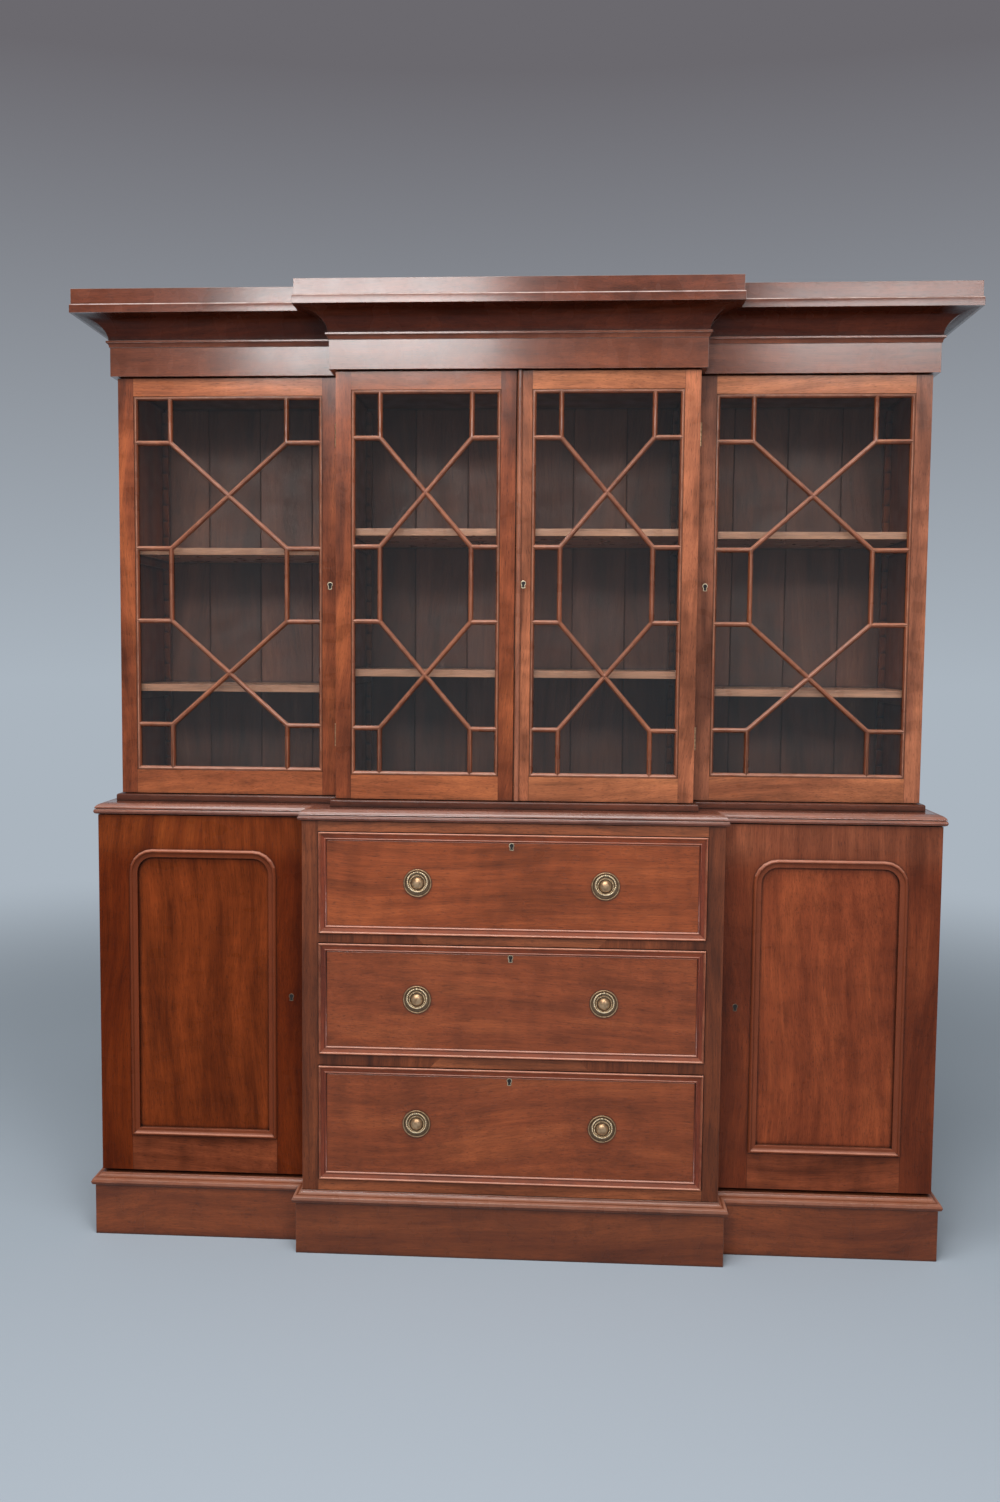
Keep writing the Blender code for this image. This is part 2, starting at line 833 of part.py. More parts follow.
def lattice_panes(left, right, low, high):
    """The thirteen openings between the bars' middle lines, each a convex outline."""
    width = right - left
    height = high - low
    column_left = left + width * lattice_column_share
    column_right = right - width * lattice_column_share
    middle = (left + right) / 2
    rows = [low + height * share for share in lattice_row_shares]
    levels = [low, *rows, high]
    low_cross = (rows[0] + rows[1]) / 2
    high_cross = (rows[2] + rows[3]) / 2
    panes = []
    for band in (0, 2, 4):
        panes.append([
            (left, levels[band]),
            (column_left, levels[band]),
            (column_left, levels[band + 1]),
            (left, levels[band + 1]),
        ])
        panes.append([
            (column_right, levels[band]),
            (right, levels[band]),
            (right, levels[band + 1]),
            (column_right, levels[band + 1]),
        ])
    for band, cross in ((1, low_cross), (3, high_cross)):
        panes.append([
            (left, levels[band]),
            (column_left, levels[band]),
            (middle, cross),
            (column_left, levels[band + 1]),
            (left, levels[band + 1]),
        ])
        panes.append([
            (column_right, levels[band]),
            (right, levels[band]),
            (right, levels[band + 1]),
            (column_right, levels[band + 1]),
            (middle, cross),
        ])
    panes.append([
        (column_left, low),
        (column_right, low),
        (column_right, rows[0]),
        (middle, low_cross),
        (column_left, rows[0]),
    ])
    panes.append([
        (column_left, rows[1]),
        (middle, low_cross),
        (column_right, rows[1]),
        (column_right, rows[2]),
        (middle, high_cross),
        (column_left, rows[2]),
    ])
    panes.append([
        (column_left, rows[3]),
        (middle, high_cross),
        (column_right, rows[3]),
        (column_right, high),
        (column_left, high),
    ])
    return panes


def drawn_in(outline, distance):
    """A convex outline, anticlockwise, with every edge moved inwards."""
    count = len(outline)
    points = []
    for index in range(count):
        before = Vector(outline[index - 1])
        corner = Vector(outline[index])
        after = Vector(outline[(index + 1) % count])
        arriving = (corner - before).normalized()
        leaving = (after - corner).normalized()
        inward = Vector((-arriving.y, arriving.x)) + Vector((-leaving.y, leaving.x))
        reach = distance / (inward.length / 2)
        moved = corner + inward.normalized() * reach
        points.append((moved.x, moved.y))
    return points


def lattice_mesh(name, left, right, low, high, face_y):
    """Astragal glazing bars: a pierced board whose bars step in to a narrow crown."""
    front = face_y + bar_front_drop
    back = face_y + glass_rebate_depth
    layers = (
        (front, bar_crown_width / 2),
        (front + bar_crown_depth, bar_shoulder_width / 2),
        (front + bar_shoulder_depth, bar_width / 2),
        (back, bar_width / 2),
    )
    spread = bar_width / 2
    panes = lattice_panes(left - spread, right + spread, low - spread, high + spread)
    border = rectangle(left, right, low, high, -lattice_border)
    shape = bmesh.new()
    end_edges = {front: [], back: []}
    for pane in [border] + panes:
        rings = []
        for y, half_width in layers:
            outline = pane if pane is border else drawn_in(pane, half_width)
            rings.append([shape.verts.new(point) for point in at_depth(outline, y)])
        count = len(pane)
        for near, far in zip(rings, rings[1:]):
            for index in range(count):
                after = (index + 1) % count
                shape.faces.new((near[index], near[after], far[after], far[index]))
        for y, ring in ((front, rings[0]), (back, rings[-1])):
            for index in range(count):
                end_edges[y].append(shape.edges.get((ring[index], ring[(index + 1) % count])))
    for edges in end_edges.values():
        bmesh.ops.triangle_fill(shape, use_beauty=True, edges=edges)
    return finish_mesh(shape, name)


def make_glazed_door(word, left, right, stiles, face_y, hinge_side):
    """One glazed door: frame with its hinge barrels, bars and glass, on its pivot."""
    low, high = glazed_levels()
    back_y = face_y + door_thickness
    sight = (left + stiles[0], right - stiles[1], low + glazed_bottom_rail, high - glazed_top_rail)
    outer = rectangle(left, right, low, high, 0)
    sections = [at_depth(outer, face_y), at_depth(rectangle(*sight, 0), face_y)]
    bead_centre = (0, glass_bead_quirk + glass_bead_drop)
    bead = arc_points(bead_centre, (glass_bead_width, glass_bead_drop), -90, 0, round_facets - 1)
    for inset, drop in bead:
        sections.append(at_depth(rectangle(*sight, inset), face_y + drop))
    sections.append(at_depth(rectangle(*sight, glass_bead_width), face_y + glass_rebate_depth))
    sections.append(at_depth(rectangle(*sight, 0), face_y + glass_rebate_depth))
    sections.append(at_depth(rectangle(*sight, 0), back_y))
    sections.append(at_depth(outer, back_y))
    name = f"{word}_door_frame"
    frame = add_part(name, loft_mesh(name, sections, closed=True), "mahogany", soft_degrees)
    hinge_x = (left if hinge_side < 0 else right) + hinge_side * hinge_offset
    hinge_y = back_y - hinge_offset
    add_hinges(frame, hinge_x, hinge_y, (low + upper_hinge_from_foot, high - upper_hinge_from_top))

    opening = glass_bead_width + seat_gap + lattice_border
    name = f"{word}_glazing_bars"
    light = (sight[0] + opening, sight[1] - opening, sight[2] + opening, sight[3] - opening)
    bars = add_part(name, lattice_mesh(name, *light, face_y), "mahogany", lattice_soft_degrees)

    name = f"{word}_glass"
    glass_front = face_y + glass_rebate_depth + seat_gap
    pane = box_mesh(
        name,
        (sight[0] + seat_gap, glass_front, sight[2] + seat_gap),
        (sight[1] - seat_gap, glass_front + glass_thickness, sight[3] - seat_gap),
    )
    glass = add_part(name, pane, "glass")

    pivot = pivot_empty(f"{word}_door_pivot", (hinge_x, hinge_y, low))
    for piece in (frame, bars, glass):
        hang(piece, pivot)
    for cutter in cutters.objects:
        if cutter.name.startswith(frame.name):
            hang(cutter, pivot)
    return pivot


def make_glazed_doors():
    wing_in = upper_centre_half_width + door_gap
    wing_out = upper_half_width
    stiles = (wing_outer_stile, wing_inner_stile)
    make_glazed_door("left_wing", -wing_out, -wing_in, stiles, upper_wing_plane, -1)
    make_glazed_door("right_wing", wing_in, wing_out, stiles[::-1], upper_wing_plane, 1)
    centre_in = meeting_gap / 2
    centre_out = upper_centre_half_width
    stiles = (centre_outer_stile, centre_inner_stile)
    make_glazed_door("left_centre", -centre_out, -centre_in, stiles, upper_centre_plane, -1)
    pivot = make_glazed_door("right_centre", centre_in, centre_out, stiles[::-1], upper_centre_plane, 1)

    low, high = glazed_levels()
    middle = centre_in + meeting_bead_width / 2
    foot_y = upper_centre_plane - seat_gap
    radii = (meeting_bead_width / 2, -meeting_bead_proud)
    crown = arc_points((middle, foot_y), radii, 0, 180, 2 * round_facets)
    sections = [[(x, y, level) for x, y in crown] for level in (low, high)]
    mesh = loft_mesh("meeting_bead", sections, closed=False)
    bead = add_part("meeting_bead", mesh, "mahogany", soft_degrees)
    hang(bead, pivot)


# Cupboard doors
def arched_outline(left, right, low, high, inset):
    """A rectangle with square feet and rounded top corners, drawn in by a distance."""
    radius = bolection_corner_radius - inset
    low_edge = low + inset
    centre_z = high - bolection_corner_radius
    right_centre = (right - bolection_corner_radius, centre_z)
    left_centre = (left + bolection_corner_radius, centre_z)
    outline = [(left + inset, low_edge), (right - inset, low_edge)]
    outline += arc_points(right_centre, (radius, radius), 0, 90, corner_facets)
    outline += arc_points(left_centre, (radius, radius), 90, 180, corner_facets)
    return outline


def squared_outline(left, right, low, high):
    """The door's own corners, repeated to match the rounded outlines point for point."""
    count = corner_facets + 1
    return [(left, low), (right, low)] + [(right, high)] * count + [(left, high)] * count


def bolection_profile():
    """Inset and rise over the face: a rounded outer edge, a hollow and a fillet."""
    round_centre = (bolection_round_width, bolection_side_rise)
    round_radii = (bolection_round_width, bolection_proud - bolection_side_rise)
    hollow_end = bolection_width - bolection_fillet_width
    hollow_centre = (hollow_end, bolection_proud)
    hollow_radii = (hollow_end - bolection_round_width, bolection_proud - bolection_fillet_rise)
    profile = arc_points(round_centre, round_radii, 180, 90, round_facets)
    profile += arc_points(hollow_centre, hollow_radii, 180, 270, round_facets)[1:]
    profile.append((bolection_width, bolection_fillet_rise))
    return profile


def make_cupboard_door(word, left, right, margins, hinge_side):
    """One panelled door: frame with its bolection moulding and hinge barrels, panel."""
    face_y = lower_wing_plane
    back_y = face_y + door_thickness
    low = plinth_height + door_foot_gap
    high = waist_foot - door_gap
    field = (left + margins[0], right - margins[1], low + panel_foot_margin, high - panel_top_margin)
    outer = squared_outline(left, right, low, high)
    sections = [at_depth(outer, face_y), at_depth(arched_outline(*field, 0), face_y)]
    for inset, rise in bolection_profile():
        sections.append(at_depth(arched_outline(*field, inset), face_y - rise))
    lip_y = face_y + bolection_lip_depth
    seat_inset = bolection_width - bolection_rebate
    sections.append(at_depth(arched_outline(*field, bolection_width), lip_y))
    sections.append(at_depth(arched_outline(*field, seat_inset), lip_y))
    sections.append(at_depth(arched_outline(*field, seat_inset), back_y))
    sections.append(at_depth(outer, back_y))
    name = f"{word}_cupboard_door_frame"
    frame = add_part(name, loft_mesh(name, sections, closed=True), "mahogany", soft_degrees)
    hinge_x = (left if hinge_side < 0 else right) + hinge_side * hinge_offset
    hinge_y = back_y - hinge_offset
    add_hinges(frame, hinge_x, hinge_y, (low + lower_hinge_from_end, high - lower_hinge_from_end))

    name = f"{word}_cupboard_panel"
    panel_front = lip_y + seat_gap
    outline = arched_outline(*field, seat_inset + seat_gap)
    mesh = sheet_mesh(name, [outline], panel_thickness, front_placing(panel_front + panel_thickness / 2))
    panel = add_part(name, mesh, "mahogany")

    pivot = pivot_empty(f"{word}_cupboard_pivot", (hinge_x, hinge_y, low))
    for piece in (frame, panel):
        hang(piece, pivot)
    for cutter in cutters.objects:
        if cutter.name.startswith(frame.name):
            hang(cutter, pivot)


def make_cupboard_doors():
    near = lower_centre_half_width + door_gap
    far = lower_half_width
    margins = (panel_outer_margin, panel_inner_margin)
    make_cupboard_door("left", -far, -near, margins, -1)
    make_cupboard_door("right", near, far, margins[::-1], 1)


# Ring handles, drawn once about the middle of their plates
def turned_mesh(name, profile):
    """Turn a profile of radius and height about Z and return the closed mesh."""
    shape = bmesh.new()
    row = [shape.verts.new((radius, 0, height)) for radius, height in profile]
    for near, far in zip(row, row[1:]):
        shape.edges.new((near, far))
    mesh = bpy.data.meshes.new(name)
    shape.to_mesh(mesh)
    shape.free()
    turned = bpy.data.objects.new(name, mesh)
    bpy.context.scene.collection.objects.link(turned)
    screw = turned.modifiers.new("turn", "SCREW")
    screw.steps = turned_facets
    screw.render_steps = turned_facets
    screw.use_merge_vertices = True
    screw.merge_threshold = seat_gap * weld_share
    return bake(turned)


def bake(drawn):
    """Evaluate an object into a plain mesh and remove the object."""
    bpy.context.view_layer.update()
    evaluated = drawn.evaluated_get(bpy.context.evaluated_depsgraph_get())
    mesh = bpy.data.meshes.new_from_object(evaluated)
    mesh.transform(drawn.matrix_world)
    bpy.data.objects.remove(drawn, do_unlink=True)
    return mesh


def to_front():
    """The turn that points a turned piece's own Z at the front."""
    return Matrix.Rotation(math.radians(90), 4, "X")


def across():
    """The turn that lays a cylinder along X."""
    return Matrix.Rotation(math.radians(90), 4, "Y")


def handle_plate_mesh():
    rim_inner = plate_radius - plate_rim_width
    rim = arc_points(
        (plate_radius - plate_rim_width / 2, plate_thickness),
        (plate_rim_width / 2, plate_rim_height), 180, 0, round_facets,
    )
    dome = arc_points((0, collar_height), (dome_radius, dome_height - collar_height), 90, 0, round_facets)
    profile = [(radius, plate_thickness + height) for radius, height in dome]
    profile += [(collar_radius, plate_thickness + collar_height), (collar_radius, plate_thickness)]
    profile += rim
    profile += [(plate_radius, 0), (0, 0)]
    mesh = turned_mesh("handle_plate", profile)
    mesh.transform(to_front())
    plate = bpy.data.objects.new("handle_plate", mesh)
    bpy.context.scene.collection.objects.link(plate)
    level = ring_radius + ring_pivot_rise
    helpers = []
    for side in (-1, 1):
        middle = side * (pivot_length / 2 + lug_gap + lug_width / 2)
        placing = Matrix.Translation((middle, -ring_stand, level)) @ across()
        barrel = cylinder_mesh(f"lug_barrel_{side}", lug_radius, lug_width, hinge_facets, placing)
        web = box_mesh(
            f"lug_web_{side}",
            (middle - lug_width / 2, -ring_stand, level - lug_radius),
            (middle + lug_width / 2, -plate_thickness + joint_overlap, level + lug_radius),
        )
        for helper_mesh in (barrel, web):
            cutter = add_cutter(helper_mesh.name, helper_mesh)
            combine(plate, cutter, "UNION")
            helpers.append(cutter)
    baked = bake(plate)
    for helper in helpers:
        bpy.data.objects.remove(helper, do_unlink=True)
    return baked


def handle_ring_mesh():
    """The hanging ring, with its own origin on the pivot above it."""
    bpy.ops.mesh.primitive_torus_add(
        major_segments=turned_facets,
        minor_segments=wire_facets,
        major_radius=ring_radius,
        minor_radius=ring_wire_radius,
        location=(0, 0, -(ring_radius + ring_pivot_rise)),
        rotation=(math.radians(90), 0, 0),
    )
    ring = bpy.context.object
    barrel = cylinder_mesh("ring_pivot", pivot_radius, pivot_length, hinge_facets, across())
    helper = add_cutter("ring_pivot", barrel)
    combine(ring, helper, "UNION")
    baked = bake(ring)
    bpy.data.objects.remove(helper, do_unlink=True)
    return baked


# Drawers
def drawer_half_width():
    return lower_centre_half_width - face_stile_width - slide_gap


def drawer_mould_profile():
    """Inset and rise over the face: rounded nose, slope, small bead and quirk."""
    nose_radii = (drawer_nose_width / 2, drawer_nose_proud - drawer_nose_side_rise)
    nose_centre = (drawer_nose_width / 2, drawer_nose_side_rise)
    bead_start = drawer_nose_width + drawer_slope_width
    bead_radii = (drawer_bead_width / 2, drawer_bead_proud - drawer_slope_foot_rise)
    bead_centre = (bead_start + drawer_bead_width / 2, drawer_slope_foot_rise)
    quirk_start = bead_start + drawer_bead_width
    profile = arc_points(nose_centre, nose_radii, 180, 0, round_facets)
    profile += arc_points(bead_centre, bead_radii, 180, 0, round_facets)
    profile.append((quirk_start + drawer_quirk_width / 2, -drawer_quirk_depth))
    profile.append((quirk_start + drawer_quirk_width, 0))
    return profile


def make_drawer(word, row, plate_mesh, ring_mesh):
    """One drawer: moulded front, box and two ring handles, on its slide's empty."""
    row_foot, row_top = row
    half_width = drawer_half_width()
    low = row_foot + slide_gap
    high = row_top - slide_gap
    front_back = drawer_plane + drawer_front_thickness
    sections = [at_depth(rectangle(-half_width, half_width, low, high, 0), front_back)]
    sections.append(at_depth(rectangle(-half_width, half_width, low, high, 0), drawer_plane))
    for inset, rise in drawer_mould_profile():
        sections.append(at_depth(rectangle(-half_width, half_width, low, high, inset), drawer_plane - rise))
    name = f"{word}_drawer_front"
    front = add_part(name, loft_mesh(name, sections, closed=False), "mahogany", soft_degrees)

    box_half = half_width - drawer_box_inset
    box_low = row_foot + seat_gap
    box_high = row_top - drawer_headroom
    box_front = front_back + seat_gap
    box_back = box_front + drawer_box_depth
    name = f"{word}_drawer_box"
    mesh = box_mesh(name, (-box_half, box_front, box_low), (box_half, box_back, box_high))
    box = add_part(name, mesh, "drawer lining")
    hollow = box_mesh(
        f"{name}_hollow",
        (drawer_side_thickness - box_half, box_front - overrun, box_low + drawer_bottom_thickness),
        (box_half - drawer_side_thickness, box_back - drawer_side_thickness, box_high + overrun),
    )
    cutter = add_cutter(f"{name}_hollow", hollow)
    combine(box, cutter, "DIFFERENCE")

    middle = (low + high) / 2
    pivot = pivot_empty(f"{word}_drawer_slide", (0, drawer_plane, middle))
    for piece in (front, box, cutter):
        hang(piece, pivot)

    for side, sign in (("left", -1), ("right", 1)):
        plate = add_part(f"{word}_drawer_{side}_handle_plate", plate_mesh, "aged brass", soft_degrees)
        plate.location = (sign * handle_spacing / 2, -seat_gap, handle_rise)
        plate.parent = pivot
        ring = add_part(f"{word}_drawer_{side}_handle_ring", ring_mesh, "aged brass", soft_degrees)
        lift = handle_rise + ring_radius + ring_pivot_rise
        ring.location = (sign * handle_spacing / 2, -seat_gap - ring_stand, lift)
        ring.parent = pivot


def make_drawers():
    plate_mesh = handle_plate_mesh()
    ring_mesh = handle_ring_mesh()
    for word, row in zip(("bottom", "middle", "top"), drawer_rows()):
        make_drawer(word, row, plate_mesh, ring_mesh)


make_plinth()
make_lower_case()
make_face_frame()
make_cupboard_shelves()
make_waist()
make_upper_base()
make_upper_case()
make_bookshelves()
make_cornice()
make_glazed_doors()
make_cupboard_doors()
make_drawers()
bpy.context.view_layer.update()
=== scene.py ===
import json
import math

import bmesh
import bpy
from mathutils import Matrix, Vector

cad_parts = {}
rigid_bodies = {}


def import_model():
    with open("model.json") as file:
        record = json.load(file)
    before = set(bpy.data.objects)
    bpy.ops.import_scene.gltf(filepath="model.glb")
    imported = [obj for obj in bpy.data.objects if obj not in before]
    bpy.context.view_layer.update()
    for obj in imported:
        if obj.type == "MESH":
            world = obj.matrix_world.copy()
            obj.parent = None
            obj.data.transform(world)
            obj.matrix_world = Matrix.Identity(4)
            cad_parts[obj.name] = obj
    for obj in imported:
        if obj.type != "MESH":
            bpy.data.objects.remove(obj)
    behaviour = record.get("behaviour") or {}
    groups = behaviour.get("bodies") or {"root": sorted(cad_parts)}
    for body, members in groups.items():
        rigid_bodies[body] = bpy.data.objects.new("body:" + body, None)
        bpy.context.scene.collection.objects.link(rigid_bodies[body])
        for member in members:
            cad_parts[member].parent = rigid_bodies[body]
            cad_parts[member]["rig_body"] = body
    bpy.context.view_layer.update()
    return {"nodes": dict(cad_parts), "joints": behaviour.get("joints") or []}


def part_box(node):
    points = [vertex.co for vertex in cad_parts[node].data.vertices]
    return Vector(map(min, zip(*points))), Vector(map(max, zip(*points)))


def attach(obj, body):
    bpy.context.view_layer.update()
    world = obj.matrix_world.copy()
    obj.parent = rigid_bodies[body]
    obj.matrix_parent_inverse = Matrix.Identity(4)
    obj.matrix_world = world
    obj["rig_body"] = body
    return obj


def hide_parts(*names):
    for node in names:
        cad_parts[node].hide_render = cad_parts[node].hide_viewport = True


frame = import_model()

print("frame loaded:", len(frame["nodes"]), "nodes")


# Camera at the photograph's viewing angle, in metres, degrees and pixels of its 1000 x 1502 image
photoCamera = {
    "place": (0.0951, -3.1748, 1.347),
    "turnedLeft": 3.55,
    "tilt": -4.39,
    "roll": 0.43,
    "focalPixels": 1365.3,
    "middleX": 471.8,
    "middleY": 758.1,
    "imageWidth": 1000,
    "imageHeight": 1502,
    "sensorWidth": 36.0,
    "nearest": 0.05,
    "furthest": 200.0,
}

# Soft studio: colours are linear, sizes in metres, brightness is what a white card would show
studio = {
    "floorColour": (0.407, 0.462, 0.521),
    "upperColour": (0.147, 0.141, 0.156),
    "upperStart": -0.02,
    "upperEnd": 0.38,
    "floorRadius": 30.0,
    "floorSides": 64,
    "floorAlbedo": (0.395, 0.448, 0.503),
    "bounceAlbedo": (0.17, 0.18, 0.19),
    "floorRough": 0.9,
    "fadeStart": 2.2,
    "fadeEnd": 5.5,
    "skyColour": (0.94, 0.97, 1.0),
    "skyStrength": 0.31,
}

softLights = {
    "leftWindow": {"place": (-0.9, -4.3, 3.09), "aim": (-0.2, 0, 2), "size": (1.3, 0.7), "radiance": 21.5},
    "rightWindow": {"place": (1.7, -4.1, 3.04), "aim": (0.8, 0, 2), "size": (1.15, 0.6), "radiance": 12.0},
    "rightPanel": {
        "place": (1.45, -3.4, 1.5),
        "aim": (0.6, 0, 1.4),
        "size": (1.3, 1.8),
        "radiance": 1.7,
        "mirrored": False,
    },
    "overhead": {"place": (-0.4, -1.8, 4.2), "aim": (-0.1, -0.3, 0.9), "size": (3, 2.6), "radiance": 5.2},
}


# Small helpers for node trees. An input is given as a value or as the socket that is linked to it,
# and a colour without its alpha.
def feed(tree, node, inputs):
    for key, value in inputs.items():
        socket = node.inputs[key]
        if isinstance(value, bpy.types.NodeSocket):
            tree.links.new(value, socket)
        else:
            socket.default_value = (*value, 1.0) if socket.type == "RGBA" else value


def addNode(tree, kind, settings=None, inputs=None):
    node = tree.nodes.new("ShaderNode" + kind)
    for key, value in (settings or {}).items():
        setattr(node, key, value)
    feed(tree, node, inputs or {})
    return node


# Places a group. Whatever the look names, such as its wear, goes to the group's input of that name.
def addGroup(tree, group, look, **inputs):
    node = addNode(tree, "Group", {"node_tree": group})
    feed(tree, node, {key: value for key, value in {**look, **inputs}.items() if key in node.inputs})
    return node.outputs


def calc(tree, operation, first, second=0.0, third=0.0, clamp=False):
    settings = {"operation": operation, "use_clamp": clamp}
    return addNode(tree, "Math", settings, {0: first, 1: second, 2: third}).outputs[0]


def times(tree, first, second, clamp=False):
    return calc(tree, "MULTIPLY", first, second, clamp=clamp)


def plus(tree, first, second, clamp=False):
    return calc(tree, "ADD", first, second, clamp=clamp)


def minus(tree, first, second):
    return calc(tree, "SUBTRACT", first, second)


def apart(tree, first, second):
    return calc(tree, "ABSOLUTE", minus(tree, first, second))


def calcVector(tree, operation, first, second):
    return addNode(tree, "VectorMath", {"operation": operation}, {0: first, 1: second}).outputs[0]


def scaled(tree, vector, factor):
    return addNode(tree, "VectorMath", {"operation": "SCALE"}, {0: vector, "Scale": factor}).outputs[0]


def axes(tree, vector):
    return addNode(tree, "SeparateXYZ", None, {0: vector}).outputs


def mixColour(tree, factor, first, second, blend="MIX"):
    settings = {"data_type": "RGBA", "blend_type": blend, "clamp_factor": True}
    return addNode(tree, "Mix", settings, {0: factor, 6: first, 7: second}).outputs[2]


def mixValue(tree, factor, first, second):
    return addNode(tree, "Mix", {"data_type": "FLOAT"}, {0: factor, 2: first, 3: second}).outputs[0]


def spread(tree, value, low, high, newLow=0.0, newHigh=1.0, smooth=False):
    settings = {"clamp": True, "interpolation_type": "SMOOTHSTEP" if smooth else "LINEAR"}
    inputs = {"Value": value, "From Min": low, "From Max": high, "To Min": newLow, "To Max": newHigh}
    return addNode(tree, "MapRange", settings, inputs).outputs[0]


def noise(tree, vector, scale, detail=2.0, roughness=0.5, output=0):
    inputs = {"Vector": vector, "Scale": scale, "Detail": detail, "Roughness": roughness}
    return addNode(tree, "TexNoise", None, inputs).outputs[output]


def bumped(tree, height, strength, distance):
    inputs = {"Strength": strength, "Distance": distance, "Height": height}
    return addNode(tree, "Bump", None, inputs).outputs[0]


# What the meshes carry: "rounded", "ledge", "hollow" or "knuckles"
def carried(tree, name):
    return addNode(tree, "Attribute", {"attribute_name": name}).outputs["Fac"]


def showMixed(tree, factor, first, second, output):
    both = addNode(tree, "MixShader", None, {0: factor, 1: first.outputs[0], 2: second.outputs[0]})
    tree.links.new(both.outputs[0], output.inputs["Surface"])


def newGroup(name, colours, values):
    tree = bpy.data.node_groups.new(name, "ShaderNodeTree")
    for kind, labels in (("Vector", "vector"), ("Color", colours), ("Float", values)):
        for label in labels.split():
            tree.interface.new_socket(name=label, in_out="INPUT", socket_type="NodeSocket" + kind)
    return tree, tree.nodes.new("NodeGroupInput").outputs


def closeGroup(tree, **outputs):
    for label, value in outputs.items():
        kind = "NodeSocketColor" if value.type == "RGBA" else "NodeSocketFloat"
        tree.interface.new_socket(name=label, in_out="OUTPUT", socket_type=kind)
    feed(tree, tree.nodes.new("NodeGroupOutput"), outputs)
    return tree


# The part of a noise's range that is spread over a finish's own range
noiseSpan = (0.3, 0.7)

# Layers of the grain: how far each is drawn out along the board, its size, detail and roughness.
# The figure's size is the group's own input.
grainLayers = {
    "figure": (0.16, None, 2.0, 0.55),
    "streak": (0.035, 80.0, 3.0, 0.62),
    "fine": (0.03, 480.0, 1.0, 0.5),
    "pore": (0.07, 1150.0, 0.0, 0.5),
    "mottle": (1.7, 16.0, 1.0, 0.4),
}
grainSteps = {
    "seedJump": (3.7, 5.3, 1.9),
    "wander": 1.3,
    "bend": 0.16,
    "middle": (0.33, 0.5),
    "light": (0.49, 0.7),
    "streak": (0.28, 0.72, -1.0, 1.0),
    "mottle": (0.3, 0.7, -1.0, 1.0),
    "fine": (0.3, 0.7, -0.15, 0.15),
    "pore": (0.64, 0.74),
    "poreColour": (0.018, 0.008, 0.006),
    "fineHeight": 0.35,
}


# Mahogany board, its grain along the vector's own Z: soft figure, long streaks and short pores
def buildGrainGroup():
    tree, given = newGroup("mahoganyGrain", "dark middle light", "seed figure streaks mottle pores")
    steps = grainSteps
    moved = calcVector(tree, "ADD", given["vector"], scaled(tree, steps["seedJump"], given["seed"]))
    wander = noise(tree, moved, steps["wander"], 1.0, output="Color")
    reach = (steps["bend"], steps["bend"], 0.0)
    bend = calcVector(tree, "MULTIPLY", calcVector(tree, "SUBTRACT", wander, (0.5, 0.5, 0.5)), reach)
    bent = calcVector(tree, "ADD", moved, bend)
    layers = {}
    for name, (along, size, detail, roughness) in grainLayers.items():
        drawn = calcVector(tree, "MULTIPLY", moved if name == "mottle" else bent, (1.0, 1.0, along))
        layers[name] = noise(tree, drawn, size or given["figure"], detail, roughness)

    figure = layers["figure"]
    deep = spread(tree, figure, *steps["middle"], smooth=True)
    pale = spread(tree, figure, *steps["light"], smooth=True)
    wood = mixColour(tree, deep, given["dark"], given["middle"])
    wood = mixColour(tree, pale, wood, given["light"])
    streak = times(tree, spread(tree, layers["streak"], *steps["streak"]), given["streaks"])
    mottle = times(tree, spread(tree, layers["mottle"], *steps["mottle"]), given["mottle"])
    tone = plus(tree, plus(tree, streak, mottle), spread(tree, layers["fine"], *steps["fine"]))
    toned = scaled(tree, wood, plus(tree, tone, 1.0))
    pore = spread(tree, layers["pore"], *steps["pore"])
    return closeGroup(
        tree,
        colour=mixColour(tree, times(tree, pore, given["pores"]), toned, steps["poreColour"]),
        height=minus(tree, times(tree, layers["fine"], steps["fineHeight"]), pore),
        smear=layers["mottle"],
    )


# Where the rails and stiles of a framed front meet, from the middle and half size of its field
def buildJoineryGroup():
    tree, given = newGroup("frameJoinery", "", "middleX middleZ halfWidth halfHeight line")
    place = axes(tree, given["vector"])
    pastX = minus(tree, apart(tree, place["X"], given["middleX"]), given["halfWidth"])
    pastZ = minus(tree, apart(tree, place["Z"], given["middleZ"]), given["halfHeight"])
    mitred = calc(tree, "GREATER_THAN", pastZ, pastX)
    inColumn = calc(tree, "LESS_THAN", pastX, 0.0)
    inRow = calc(tree, "LESS_THAN", pastZ, 0.0)
    nearEdge = calc(tree, "LESS_THAN", calc(tree, "ABSOLUTE", pastX), given["line"])
    return closeGroup(
        tree,
        rail=times(tree, mitred, inColumn),
        mitredRail=mitred,
        field=times(tree, inColumn, inRow),
        joint=times(tree, nearEdge, minus(tree, 1.0, inRow)),
        right=calc(tree, "GREATER_THAN", place["X"], given["middleX"]),
        upper=calc(tree, "GREATER_THAN", place["Z"], given["middleZ"]),
    )


# Lengths of a moulding round the breakfront: |x| + y stays the same along each mitre. Each length
# has a number of its own, and those on the right count on from rightCount.
rightCount = 4.0


